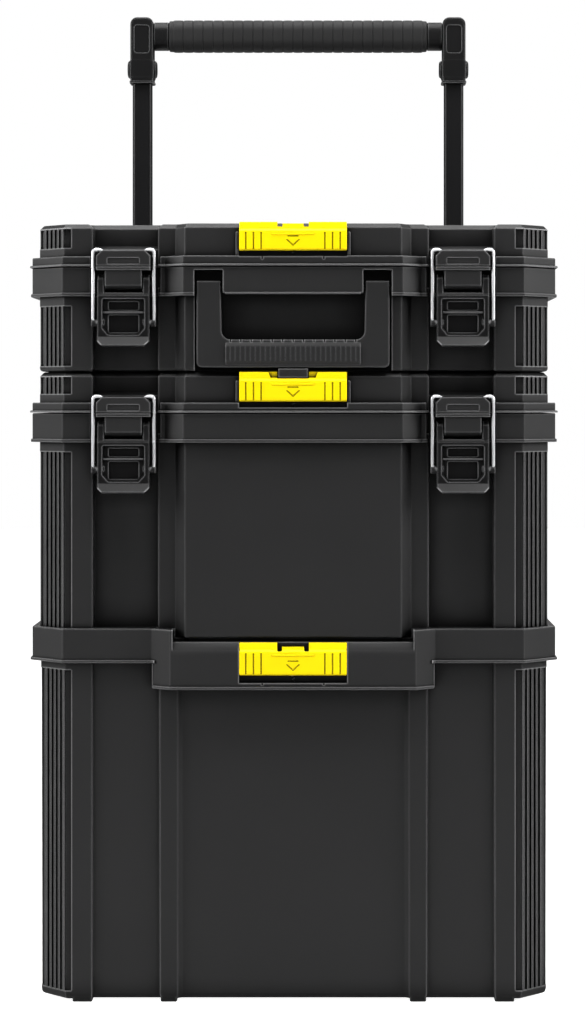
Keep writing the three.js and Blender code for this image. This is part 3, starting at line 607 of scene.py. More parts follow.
def hinge_cuts(seam, up):
    """Bores of the lid hinges, and room for the barrels of the other half."""
    cuts = []
    for _, side in SIDES:
        x = side * HINGE_X
        cuts.append(rod_x(PIN_BORE, x - 40, x + 40, HINGE_Y, seam))
        spans = [(-24.3, -9.0), (9.0, 24.3)] if up else [(-9.3, 9.3)]
        cuts += [rod_x(HINGE_R + 0.8, x + a, x + b, HINGE_Y, seam) for a, b in spans]
    return cuts


def latch_mount(seam, side):
    """The raised pad under a latch, between the lever's arms."""
    x = side * LATCH_X
    pad = loft([(RECESS + 1, seam - 22, 0), (-146.5, seam - 22, 1), (-151.6, seam - 17.5, 1),
                (-151.6, seam - GAP, 0.5), (RECESS + 1, seam - GAP, 0)],
               soft_ends(x - 17, x + 17, 0.8, steps=2), "X")
    brow = slab(x - 24.8, x + 24.8, -152.9, -143, seam - 3.6, seam - GAP, 0.6, 0.6, "X")
    return [pad, brow]


def tray(floor, seam, extra=(), rooms=()):
    """The lower half of a tool box with its flange and seam lip."""
    low = seam - FLANGE_DOWN
    shell = loft(body_plan(), soft_ends(floor, low + 6, 3, 0))
    cut(shell, corner_rooms(BODY_HALF, BODY_REAR, floor + 5, low - 11))
    flange = loft(flange_plan(), soft_ends(low, seam - GAP, 0.5, 0.9))
    lip = loft(flange_plan(), soft_ends(low - 2, low + 1.2, 0.7, 0.9, grow=1.4, steps=2))
    parts = [flange, lip, *extra]
    for _, side in SIDES:
        parts += latch_mount(seam, side)
        x = side * HINGE_X
        parts += knuckle(x - 24, x - 9.3, seam, False) + knuckle(x + 9.3, x + 24, seam, False)
    combine(shell, parts)
    bores = [rod_x(PIN_BORE, s * LATCH_X - 28, s * LATCH_X + 28, PIN_Y, seam - PIN_DROP)
             for _, s in SIDES]
    centre = BODY_FRONT + 1 if floor == TOP_FLOOR else BODY_CENTRE
    hollow = body_plan(centre=centre, set_back=True)
    return cut(shell, [loft(hollow, [(floor + WALL, -WALL - 1), (floor + WALL + 1.5, -WALL),
                                     (seam + 5, -WALL)]),
                       *rooms, *bores, *hinge_cuts(seam, False)])


def lid_hook(seam, side):
    """The sloped ledge above a latch and the nose that its bail holds."""
    x = side * LATCH_X
    a, b = sorted((side * 123.0, side * 185.0))
    ledge = loft([(RECESS + 6, seam + 0.3, 0), (RECESS - 9, seam + 0.3, 0.5),
                  (RECESS - 9, seam + 16, 1.2), (RECESS, seam + 19.8, 1.0),
                  (RECESS + 6, seam + 19.8, 0)], [(a, 0), (b, 0)], "X")

    def nose(half, top, chamfer):
        return [(x - half, seam + GAP, 0.6), (x + half, seam + GAP, 0.6),
                (x + half, seam + top - chamfer, 1.0), (x + half - chamfer, seam + top, 1.0),
                (x - half + chamfer, seam + top, 1.0), (x - half, seam + top - chamfer, 1.0)]
    block = loft(nose(24.5, 14.2, 4.6), soft_ends(-146, RECESS, 0.8, 0, steps=2), "Y")
    bridge = loft(nose(24.5, 10.0, 2.0), [(-151, 0), (-145, 0)], "Y")
    lip = loft(nose(24.8, 14.7, 5.2), soft_ends(-152.9, -150.4, 0.9, 0.3, steps=2), "Y")
    return [ledge, block, bridge, lip]


def nose_panels(seam):
    """Shallow sunk panels on the latch noses."""
    return [slab(s * LATCH_X - 14.5, s * LATCH_X + 14.5, -155, -152.3, seam + 2.2,
                 seam + 7.6, 0.8, 0.2, "Y") for _, s in SIDES]


def centre_ticks(low, high):
    """Two short upright grooves in the centre face."""
    return [slab(s * 28 - 0.8, s * 28 + 0.8, CENTRE - 2, CENTRE + 1.6, low, high, 0.2, 0.1)
            for _, s in SIDES]


def lid(seam, top, rooms=(), extra=()):
    """The upper half of a tool box: bevelled top, flange, lip and latch noses."""
    shell = loft(body_plan(), [(seam + GAP, 0), (top - 4.4, 0), (top - 3.9, -0.2),
                               (top - 0.7, -3.4), (top - 0.2, -4.2), (top, -5.2)])
    cut(shell, corner_rooms(BODY_HALF, BODY_REAR, seam + 17.5, top - 4.6))
    flange = loft(flange_plan(), soft_ends(seam + GAP, seam + LID_FLANGE, 0, 1.0))
    lip = loft(flange_plan(), soft_ends(seam + GAP, seam + 2.3, 0.4, 1.0, grow=2.3, steps=2))
    parts = [flange, lip, *extra]
    for _, side in SIDES:
        parts += lid_hook(seam, side)
        x = side * HINGE_X
        parts += knuckle(x - 9, x + 9, seam, True)
        a, b = sorted((side * 49.7, side * 52.4))
        parts.append(slab(a, b, CATCH_BACK - 4, CATCH_BACK + 1, seam + LID_FLANGE - 1, top - 8,
                          0.6, 1.0))
    combine(shell, parts)
    panel = loft(rectangle(-190, 190, -112, 66, 9), [(top - 1.2, -1.2), (top + 1, 0.6)])
    hollow = body_plan(set_back=True)
    return cut(shell, [loft(hollow, [(seam - 1, -WALL - 0.5), (top - WALL - 4, -WALL - 0.5),
                                     (top - WALL, -WALL - 3.5)]),
                       panel, *rooms, *centre_ticks(seam + 6.2, seam + 12), *nose_panels(seam),
                       *hinge_cuts(seam, True)])


def catch_room(low, high):
    """The pocket that a slide catch sits in."""
    return slab(-CATCH_HALF - GAP, CATCH_HALF + GAP, CENTRE - 5, CATCH_BACK + GAP, low, high,
                0.3, 0)


# ------------------------------------------------------------ yellow catches
def catch(name, body, low, top, notches):
    """A slide catch with finger grooves at both ends and a plain arrow."""
    plate = loft([(CATCH_FACE + 1.5, low, 0.8), (CATCH_BACK, low, 0.4), (CATCH_BACK, top, 0.6),
                  (CATCH_FACE + 2.4, top, 1.2), (CATCH_FACE + 1.9, top - 6.5, 0.8),
                  (CATCH_FACE, top - 8.2, 1.0), (CATCH_FACE, low + 1.6, 0.8)],
                 soft_ends(-CATCH_HALF, CATCH_HALF, 0.8), "X")
    ridge = slab(-19.5, 19.5, CATCH_FACE - 0.5, CATCH_FACE + 2, top - 12.2, top - 10.4, 0.5, 0.4,
                 "X")
    combine(plate, [ridge])
    groove = loft(rectangle(-0.7, 0.7, CATCH_FACE - 2, CATCH_FACE + 0.8, 0.25),
                  [(low + 1.2, 0), (top - 9.5, 0)], steps=2)
    rows = [row(groove, 3, (s * 29, 0, 0), (s * 7, 0, 0), keep=s < 0) for _, s in SIDES]
    bar = slab(-5, 5, CATCH_FACE - 2, CATCH_FACE + 0.6, low + 12.6, low + 13.8, 0.4, 0, "Y")
    head = loft([(-6.6, low + 10.2, 0.2), (0, low + 4.0, 0.4), (6.6, low + 10.2, 0.2),
                 (4.8, low + 10.2, 0.1), (0, low + 5.8, 0.3), (-4.8, low + 10.2, 0.1)],
                [(CATCH_FACE - 2, 0), (CATCH_FACE + 0.6, 0)], "Y", 2)
    spring = slab(-2.6, 2.6, CATCH_BACK - 4.4, CATCH_BACK + 1, low - 1, low + 16, 0.4, 0)
    cut(plate, [*rows, bar, head, spring, *notches])
    return finished(plate, name, body, "yellow", [name])


def front_prism(points, y0=-170.0, y1=-140.0):
    """A prism through the front from (x, z) corners."""
    return loft([(x, z, 0.5) for x, z in points], [(y0, 0), (y1, 0)], "Y", 2)


def top_slits(top, upper, lower, outer, depth):
    """Two upright slits down from the top edge of a catch."""
    return [front_prism([(s * upper, top + 1), (s * lower, top - depth),
                         (s * outer, top - depth), (s * outer, top + 1)])
            for _, s in SIDES]


def top_notch(top, half, depth):
    """A notch in the middle of the top edge of a catch."""
    return front_prism([(-half, top - depth), (half, top - depth), (half, top + 1),
                        (-half, top + 1)])


# ------------------------------------------------------------ latches
def lever(name, seam, side, body):
    """A draw latch lever: dished plate with a kicked-out lip and two arms."""
    x = side * LATCH_X
    plate = loft([(-138, seam - 24, 0.8), (-140, seam - 58, 3), (-143, seam - 66, 3),
                  (-150.5, seam - 73.6, 1.2), (-158.8, seam - 73, 1.2), (-152, seam - 64.2, 2),
                  (-151.6, seam - 27, 1.6), (-149.5, seam - 23.8, 1.0)],
                 soft_ends(x - 24, x + 24, 1.4), "X")
    corners = [loft([(x + s * 16.2, seam - 76, 0), (x + s * 27, seam - 65.2, 0),
                     (x + s * 27, seam - 76, 0)], [(-165, 0), (-130, 0)], "Y") for s in (-1, 1)]
    cut(plate, corners)
    arms = []
    for s in (-1, 1):
        a = x + s * 20.8
        arms.append(loft([(-138, seam - 28, 0), (-150.8, seam - 28, 1), (-150.2, seam - 12, 2.4),
                          (-147.5, seam - 7.6, 2.6), (-140, seam - 7.2, 1.5),
                          (-138, seam - 9.5, 1)], soft_ends(a - 3.2, a + 3.2, 1.0), "X"))
    bosses = [loft(circle(3.4, -147.8, seam - 52, 20),
                   soft_ends(*sorted((x + s * 22.5, x + s * 29.6)), 0.8, steps=2), "X")
              for s in (-1, 1)]
    combine(plate, arms + bosses)
    dish = loft([(x - 18.6, seam - 30.4, 1.0), (x + 18.6, seam - 30.4, 1.0),
                 (x + 18.6, seam - 56.5, 1.2), (x + 13.6, seam - 62.2, 1.2),
                 (x - 13.6, seam - 62.2, 1.2), (x - 18.6, seam - 56.5, 1.2)],
                [(-165, 1.6), (-152, 0.9), (-148.2, -0.6), (-148, -0.8)], "Y")
    cut(plate, [dish])
    wells = [slab(x - 13.6, x + 13.6, -150, -146.2, seam - z0, seam - z1, 1.0, 0.3, "Y")
             for z0, z1 in ((39.8, 32.4), (60.4, 44.6))]
    bores = [rod_x(PIN_BORE, x - 30, x + 30, PIN_Y, seam - PIN_DROP)]
    bores += [rod_x(2.2, x + s * 21.5 - 3.4, x + s * 21.5 + 3.4, BAIL_Y, seam - BAIL_DROP)
              for s in (-1, 1)]
    cut(plate, wells + bores)
    bar = slab(x - 19.2, x + 19.2, -150.2, -147.5, seam - 43.0, seam - 41.2, 0.5, 0.3, "X")
    combine(plate, [bar])
    return finished(plate, name, body, "trim", [name])


def bail(name, seam, side, body):
    """The steel wire loop of a latch."""
    x, y = side * LATCH_X, BAIL_Y
    low, top, half = seam - BAIL_DROP, seam + 15, 27.7
    right = [(20, y, low), (half, y, low), (half, y, top), (21.6, y, top), (18.4, y, top - 2.6)]
    points = right + [(-a, b, c) for a, b, c in reversed(right)]
    loop = wire([(a + x, b, c) for a, b, c in points],
                bpy.context.scene.tool_box_sizes.bail_wire / MM, 4.5)
    return finished(loop, name, body, "steel", [name], sharp=60)


# ------------------------------------------------------------ builders
def wheel_rooms(wall=0.0):
    """The two wheel arches as solids, with a wall round them."""
    return [slab(*sorted((side * (189 - wall), side * 260)), 26 - wall, 190, -20,
                 133 + wall, 4, 0) for _, side in SIDES]


def build_bin():
    """The wheeled bin with its rim, arches, feet and ribs."""
    outer = loft(BIN_PLAN, [(BIN_FLOOR, -4.5), (BIN_FLOOR + 0.8, -2.6), (BIN_FLOOR + 2.4, -1.2),
                            (BIN_FLOOR + 5.5, -0.6), (RIM_SIDE_LOW, 0), (RIM_TOP - 4, 0)])
    cut(outer, corner_rooms(BIN_HALF, BIN_REAR, BIN_FLOOR + 8, 305))
    plan = flange_plan(BIN_REAR + 4, BIN_FACET, recessed=False)
    band = loft(plan, [(RIM_SIDE_LOW - 0.5, 0), (RIM_SIDE_LOW + 6, 0), (RIM_TOP - 1.2, 0),
                       (RIM_TOP - 0.4, -0.35), (RIM_TOP, -1.2)])
    band_lip = loft(plan, soft_ends(RIM_SIDE_LOW - 1, RIM_SIDE_LOW + 1.8, 0.8, 0.9, grow=1.9,
                                    steps=2))
    skirt = loft(plan, soft_ends(RIM_LOW, RIM_SIDE_LOW + 3, 0.4, 0))
    skirt_lip = loft(plan, soft_ends(RIM_LOW - 1, RIM_LOW + 1.8, 0.8, 0.9, grow=1.9, steps=2))
    combine(skirt, [skirt_lip])
    keep = slab(-128.5, 128.5, CENTRE - 10, -20, RIM_LOW - 4, RIM_SIDE_LOW + 2, 0.3, 0)
    combine(skirt, [keep], "INTERSECT")
    edges = []
    for side in (-1, 1):
        a, b = sorted((side * 126.9, side * 129.4))
        edges.append(slab(a, b, FRONT - 1.9, FRONT + 6, RIM_LOW - 0.6, RIM_SIDE_LOW + 1, 0.7,
                          0.8))
    feet = [slab(*sorted((side * a, side * b)), BODY_FRONT + 1, BODY_FRONT + 40, 0,
                 BIN_FLOOR + 4, 1.5, 0.8) for side in (-1, 1)
            for a, b in ((185, 203), (107, 122))]
    cut(band_lip, [slab(-127, 127, CENTRE - 10, BODY_FRONT, RIM_SIDE_LOW - 3, RIM_SIDE_LOW + 4,
                        0.3, 0)])
    combine(outer, [band, band_lip, skirt, *edges, *feet])
    lowered = slab(-RIM_DIP, RIM_DIP, CENTRE - 10, BODY_FRONT - 1, RIM_CENTRE_TOP,
                   RIM_TOP + 1, 0.8, 0)
    bevel = loft([(CENTRE - 5, RIM_CENTRE_TOP - 7.5, 0), (CENTRE, RIM_CENTRE_TOP - 7.5, 0),
                  (BODY_CENTRE - 1.5, RIM_CENTRE_TOP, 0),
                  (BODY_CENTRE - 1.5, RIM_CENTRE_TOP + 2, 0),
                  (CENTRE - 5, RIM_CENTRE_TOP + 2, 0)], [(-RIM_DIP, 0), (RIM_DIP, 0)], "X")
    inside = loft(BIN_HOLLOW, [(BIN_FLOOR + WALL, -WALL - 2), (BIN_FLOOR + WALL + 3, -WALL),
                               (331, -WALL)])
    cut(inside, wheel_rooms(WALL))
    opening = loft(body_plan(), [(MID_FLOOR - 10, -6), (RIM_TOP + 1, -6)])
    seat = loft(body_plan(), [(MID_FLOOR - GAP, 0.8), (RIM_TOP + 1, 0.8)])
    cut(outer, [lowered, bevel, inside, opening, seat,
                catch_room(RIM_CENTRE_TOP - 37, RIM_TOP + 2), *wheel_rooms(),
                *centre_ticks(293, 295.6),
                rod_x(5.3, -240, 240, WHEEL_Y, WHEEL_R)])
    finished(outer, "bin_shell", "bin", "shell", ["bottom_bin", "bin_rim"])
    corner_ribs("bin_ribs", "bin", BIN_HALF, BIN_REAR, BIN_FLOOR + 7, 306)


def build_middle_box():
    """The middle tool box: tray, lid and their ribs."""
    plug = loft(body_plan(), soft_ends(MID_FLOOR - 8, MID_FLOOR + 2, 1.5, 0, grow=-7))
    hollow = loft(body_plan(), [(MID_FLOOR - 5, -10), (MID_FLOOR + 5, -10)])
    box = tray(MID_FLOOR, MID_SEAM, [plug], [hollow])
    finished(box, "middle_tray", "mid_box", "shell", ["mid_tray"])
    corner_ribs("middle_tray_ribs", "mid_box", BODY_HALF, BODY_REAR, MID_FLOOR + 4,
                MID_SEAM - FLANGE_DOWN - 10)
    cover = lid(MID_SEAM, MID_TOP, [catch_room(MID_SEAM + 5, MID_TOP + 3)])
    finished(cover, "middle_lid", "mid_lid", "shell", ["mid_lid"])
    corner_ribs("middle_lid_ribs", "mid_lid", BODY_HALF, BODY_REAR, MID_SEAM + 16.5,
                MID_TOP - 4.2)


def build_top_case():
    """The top carry case: tray with the handle's pocket, and lid."""
    low = TOP_SEAM - FLANGE_DOWN
    wide = CARRY_OUT + 2
    rooms = [slab(-wide, wide, CENTRE - 5, POCKET_BACK, TOP_FLOOR - 5, low + 1, 1.0, 0),
             slab(-wide, wide, CENTRE - 5, POCKET_BACK, low - 5, low, 0.5, 0)]
    for side in (-1, 1):
        a, b = sorted((side * (CARRY_IN - 1), side * wide))
        rooms.append(slab(a, b, CENTRE - 5, POCKET_BACK, low - 5, TOP_SEAM - 3.5, 1.0, 0))
    rooms.append(rod_x(3.2, -CARRY_OUT - 12, CARRY_OUT + 12, *CARRY_PIVOT))
    box = tray(TOP_FLOOR, TOP_SEAM, [], rooms)
    edge = slab(-CARRY_IN + 3, CARRY_IN - 3, CENTRE - 1.3, CENTRE + 4, low - 0.6, low + 1.4, 0.7,
                0.8)
    tab = [slab(-13.5, 13.5, -155.8, -150.5, TOP_FLOOR - 6, TOP_FLOOR + 2.3, 0.8, 0.6),
           slab(-13.5, 13.5, -155.8, POCKET_BACK + 2, TOP_FLOOR + 0.2, TOP_FLOOR + 2.3, 0.5,
                0.3)]
    combine(box, [edge, *tab])
    finished(box, "case_tray", "top_box", "shell", ["top_tray"])
    corner_ribs("case_tray_ribs", "top_box", BODY_HALF, BODY_REAR, TOP_FLOOR + 4, low - 10)
    cover = lid(TOP_SEAM, TOP_TOP, [catch_room(TOP_SEAM + 8.8, TOP_TOP + 2)])
    finished(cover, "case_lid", "top_lid", "shell", ["top_lid"])
    corner_ribs("case_lid_ribs", "top_lid", BODY_HALF, BODY_REAR, TOP_SEAM + 16.5,
                TOP_TOP - 4.2)


def build_catches():
    """The three yellow slide catches."""
    top = TOP_TOP + 0.9
    catch("top_catch", "top_catch", TOP_SEAM + 14, top,
          [*top_slits(top, 9.2, 9.8, 14.3, 4.6), top_notch(top, 9.6, 1.6)])
    top = MID_TOP
    taper = front_prism([(-23, top + 1), (-20.5, top - 5.4), (20.5, top - 5.4), (23, top + 1)],
                        y1=-153.2)
    catch("mid_catch", "mid_catch", MID_SEAM + 10.4, top, [taper, top_notch(top, 14.5, 6.2)])
    top = RIM_CENTRE_TOP - 0.2
    catch("bin_catch", "bin_catch", RIM_CENTRE_TOP - 30, top,
          [*top_slits(top, 9.6, 10.2, 14.5, 8), top_notch(top, 10, 3.8)])


def build_latches():
    """The four draw latches, each a lever and a bail."""
    for box, seam in (("mid", MID_SEAM), ("top", TOP_SEAM)):
        for name, side in SIDES:
            lever(f"{box}_lever_{name}", seam, side, f"{box}_lever_{name}")
            bail(f"{box}_bail_{name}", seam, side, f"{box}_bail_{name}")


def build_carry_handle():
    """The folding carry handle with its notches and fine lines."""
    sizes = bpy.context.scene.tool_box_sizes
    front = CENTRE + 1.5
    outline = [(-CARRY_OUT, 582.5, 5), (CARRY_OUT, 582.5, 5), (CARRY_OUT, 661.5, 1.2),
               (CARRY_IN + 1, 661.5, 1.2), (CARRY_IN, 608, 8), (-CARRY_IN, 608, 8),
               (-CARRY_IN - 1, 661.5, 1.2), (-CARRY_OUT, 661.5, 1.2)]
    frame_part = loft(outline, soft_ends(front, POCKET_BACK - 4, 1.2, 0.8), "Y", 5)
    grip = loft([(front + 1, 583, 3), (POCKET_BACK - 6, 583, 4), (POCKET_BACK - 2, 589, 3),
                 (POCKET_BACK - 2, 601, 3), (POCKET_BACK - 6, 607.6, 4), (front + 1, 607.6, 4),
                 (front - 2, 602, 4), (front - 2, 588, 4)],
                soft_ends(-CARRY_IN + 3, CARRY_IN - 3, 1.2), "X")
    combine(frame_part, [grip])
    notch = loft(rectangle(-0.65, 0.65, front - 4, POCKET_BACK, 0.2), [(605.6, 0), (612, 0)])
    notches = row(notch, sizes.notch_count,
                  (-sizes.notch_pitch / MM * (sizes.notch_count - 1) / 2, 0, 0),
                  (sizes.notch_pitch / MM, 0, 0))
    line = loft(rectangle(-0.3, 0.3, front - 4, front - 1.85, 0.1), [(585, 0), (604, 0)], steps=2)
    count = 26
    lines = row(line, count, (-57.2, 0, 0), (114.4 / (count - 1), 0, 0))
    cut(frame_part, [notches, lines, rod_x(3.2, -100, 100, *CARRY_PIVOT)])
    finished(frame_part, "carry_handle_grip", "carry_handle", "shell", ["carry_handle"])


def rounded_tube(name, size, z0, z1, side, body, replaced, look="painted", soft=0.5, taper=0.0):
    """A hollow rounded-rectangular tube or collar round a handle leg."""
    x = side * TUBE_X
    w, h, wall, radius = size
    plan = rectangle(x - w / 2, x + w / 2, TUBE_Y - h / 2, TUBE_Y + h / 2, radius)
    levels = soft_ends(z0, z1, soft, soft)
    if taper:
        levels = [(z, grow - taper * (z - z0) / (z1 - z0)) for z, grow in levels]
    outer = loft(plan, levels, steps=5)
    bore = loft(plan, [(z0 - 1, -wall), (z1 + 1, -wall)], steps=5)
    return finished(cut(outer, [bore]), name, body, look, [replaced])


def build_handle_tubes():
    """The telescopic legs with their collars and clamps."""
    for name, side in SIDES:
        rounded_tube(f"sleeve_tube_{name}", (28, 22, 1.5, 6), 30, 345, side, "bin",
                     f"handle_sleeve_{name}")
        rounded_tube(f"middle_leg_{name}", (24, 18, 1.5, 5), 285, 612, side, "handle_middle",
                     f"middle_tube_{name}")
        rounded_tube(f"inner_leg_{name}", (20, 14, 1.5, 4), 560, 904, side, "handle_top",
                     f"inner_tube_{name}")
        rounded_tube(f"lower_collar_{name}", (32, 26, 3.6, 6), 345.3, 357, side, "bin",
                     f"sleeve_collar_{name}", "trim", 0.8, 1.2)
        rounded_tube(f"upper_collar_{name}", (30, 23, 4.2, 5), 612.3, 630, side,
                     "handle_middle", f"middle_collar_{name}", "trim", 0.8, 1.2)
        for level, z0, z1 in (("lower", 32, 62), ("upper", 268, 304)):
            x = side * TUBE_X
            body = slab(x - 18.5, x + 18.5, 122.3, OVERALL_REAR, z0, z1, 5, 1.2)
            bore = loft(rectangle(x - 14.3, x + 14.3, TUBE_Y - 11.3, TUBE_Y + 11.3, 6),
                        [(z0 - 1, 0), (z1 + 1, 0)], steps=5)
            slots = row(slab(x - 10, x + 10, OVERALL_REAR - 0.9, OVERALL_REAR + 2, -1.3, 1.3, 1.2,
                             0.3, "Y"), 3, (0, 0, (z0 + z1) / 2 - 7), (0, 0, 7))
            cut(body, [bore, slots])
            finished(body, f"{level}_sleeve_clamp_{name}", "bin", "trim",
                     [f"{level}_clamp_{name}"])


def build_pull_handle():
    """The ringed grip, its bar, its corners and their pins."""
    sizes = bpy.context.scene.tool_box_sizes
    middle, tall, deep = 926.0, 33.0, 26.6
    section = rectangle(TUBE_Y - deep / 2, TUBE_Y + deep / 2, middle - tall / 2,
                        middle + tall / 2, 12)
    pitch = sizes.grip_ring_pitch / MM
    count = int(264 / pitch)
    start = -count * pitch / 2
    levels = [(-132, -2.2), (-131.2, -0.9), (start, -0.7)]
    for i in range(count):
        x = start + i * pitch
        levels += [(x + 0.3, -0.7), (x + 0.8, -0.15), (x + pitch / 2, 0),
                   (x + pitch - 0.8, -0.15), (x + pitch - 0.3, -0.7)]
    levels += [(-start, -0.7), (131.2, -0.9), (132, -2.2)]
    skin = loft(section, levels, "X", 6)
    bore = loft(rectangle(TUBE_Y - 8.3, TUBE_Y + 8.3, middle - 10.3, middle + 10.3, 7.3),
                [(-140, 0), (140, 0)], "X", 5)
    cut(skin, [bore])
    finished(skin, "grip_cover", "handle_top", "rubber", ["grip_sleeve"])
    core = loft(rectangle(TUBE_Y - 8, TUBE_Y + 8, middle - 10, middle + 10, 7),
                [(-147.4, 0), (147.4, 0)], "X", 5)
    collars = [loft(rectangle(TUBE_Y - 12, TUBE_Y + 12, middle - 14.5, middle + 14.5, 11),
                    soft_ends(*sorted((s * 132.3, s * 147.4)), 1.0), "X", 6) for s in (-1, 1)]
    finished(combine(core, collars), "grip_bar", "handle_top", "trim", ["grip_core"])
    for name, side in SIDES:
        x = side * TUBE_X
        elbow = loft([(x - 11.8, 877, 1.6), (x + 11.8, 877, 1.6), (x + 11.8, 944.5, 7),
                      (x - 11.8, 944.5, 7)], soft_ends(TUBE_Y - 13, TUBE_Y + 13, 2.4), "Y", 5)
        band = slab(x - 12.6, x + 12.6, TUBE_Y - 13.3, TUBE_Y + 13.3, 877, 879.6, 3, 0.6)
        shoulder = loft([(x - 12.5, 881.5, 2), (x + 12.5, 881.5, 2), (x + 12.5, 902.5, 4),
                         (x - 12.5, 902.5, 4)], soft_ends(TUBE_Y - 13.2, TUBE_Y + 13.2, 1.8),
                        "Y")
        combine(elbow, [band, shoulder])
        socket = loft(rectangle(x - 10.3, x + 10.3, TUBE_Y - 7.3, TUBE_Y + 7.3, 5),
                      [(870, 0), (904.3, 0)], steps=4)
        panel = slab(x - 7.5, x + 7.5, TUBE_Y - 16, TUBE_Y - 12.4, 908, 936, 2.5, 0.3, "Y")
        cut(elbow, [socket, panel, rod_x(3.3, x - 20, x + 20, TUBE_Y, 892)])
        finished(elbow, f"grip_corner_{name}", "handle_top", "trim", [f"grip_bracket_{name}"])
        pin = loft(circle(3, TUBE_Y, 892, 24), [
            (x - 15, 3.5), (x - 14.6, 4.8), (x - 13.4, 6), (x - 12.1, 6), (x - 12.1, 0),
            (x + 12.1, 0), (x + 12.1, 6), (x + 13.4, 6), (x + 14.6, 4.8), (x + 15, 3.5)], "X")
        finished(pin, f"corner_pin_{name}", "handle_top", "trim", [f"bracket_pin_{name}"])


def build_wheels():
    """Both wheels: a tyre with its tread, and a rim with its spokes."""
    sizes = bpy.context.scene.tool_box_sizes

    def about_axle(profile, side, steps=96):
        return turned([(r, side * x) for r, x in profile], WHEEL_Y, WHEEL_R, steps)

    for name, side in SIDES:
        inner, outer = 46.4, WHEEL_R - 1.6
        profile = [(inner, WHEEL_IN), (outer - 5, WHEEL_IN), (outer - 2, WHEEL_IN + 1.6),
                   (outer - 0.5, WHEEL_IN + 5), (outer, WHEEL_IN + 9), (outer, WHEEL_OUT - 9),
                   (outer - 0.5, WHEEL_OUT - 5), (outer - 2, WHEEL_OUT - 1.6),
                   (outer - 5, WHEEL_OUT), (inner, WHEEL_OUT)]
        tyre = about_axle(profile, side)
        block = slab(side * 210.5 - 11, side * 210.5 + 11, -2.4, 2.4, outer - 1.5, WHEEL_R, 1.2,
                     0.5)
        turn = 2 * math.pi / sizes.tread_count
        tread = row(block, sizes.tread_count, (0, WHEEL_Y, WHEEL_R), (0, 0, 0), (turn, 0, 0))
        finished(gather([tyre, tread]), f"wheel_tyre_{name}", f"wheel_{name}", "rubber",
                 [f"tyre_{name}"])
        rim = about_axle((
            (40, WHEEL_IN + 6), (43, WHEEL_IN + 1), (46, WHEEL_IN + 1), (46, WHEEL_OUT - 1),
            (43.4, WHEEL_OUT - 1), (42.6, WHEEL_OUT - 2), (41, WHEEL_OUT - 8),
            (40, WHEEL_OUT - 8)), side)
        web = about_axle(((12, WHEEL_IN + 8), (41, WHEEL_IN + 8), (41, WHEEL_IN + 12),
                          (12, WHEEL_IN + 12)), side)
        boss = about_axle((
            (5.4, WHEEL_IN - 4), (12, WHEEL_IN - 4), (13, WHEEL_IN - 3), (13, WHEEL_OUT - 1),
            (12, WHEEL_OUT), (5.4, WHEEL_OUT)), side, 48)
        a, b = sorted((side * (WHEEL_IN + 9), side * (WHEEL_OUT - 5)))
        spoke = slab(a, b, -4, 4, 11, 42, 1.0, 0.6)
        spokes = row(spoke, sizes.spoke_count, (0, WHEEL_Y, WHEEL_R), (0, 0, 0),
                     (2 * math.pi / sizes.spoke_count, 0, 0))
        finished(gather([rim, web, boss, spokes]), f"wheel_rim_{name}", f"wheel_{name}", "trim",
                 [f"wheel_hub_{name}"])


def build_hardware():
    """Finishes for the CAD parts that stay as they are."""
    for name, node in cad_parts.items():
        if node.hide_render:
            continue
        slots = node.material_slots
        if not slots:
            raise RuntimeError(f"{name} has no material slot")
        for slot in slots:
            slot.link = "OBJECT"
            bright = "spring" in name or "axle" in name
            slot.material = finish("steel" if bright else "trim")


# lamp: (name, place, target, size, power), in metres and watts
LAMPS = (
    ("overhead", (0.0, -0.3, 2.6), (0.0, 0.0, 0.4), 2.0, 115.0),
    ("left_strip", (-2.1, -0.5, 1.35), (0.0, 0.0, 0.6), 1.2, 56.0),
    ("right_strip", (2.1, -0.5, 1.35), (0.0, 0.0, 0.6), 1.2, 56.0),
    ("front_fill", (0.0, -3.4, 1.8), (0.0, 0.0, 0.5), 2.0, 9.0),
    ("rear_fill", (0.0, 2.4, 2.2), (0.0, 0.0, 0.5), 1.6, 30.0),
)
CAMERA_PLACE, CAMERA_LENS, CAMERA_SHIFT = (0.041, -2.542, 0.55), 92.1, (-0.0440, -0.1063)
FLOOR_RADIUS = 9.0  # metres


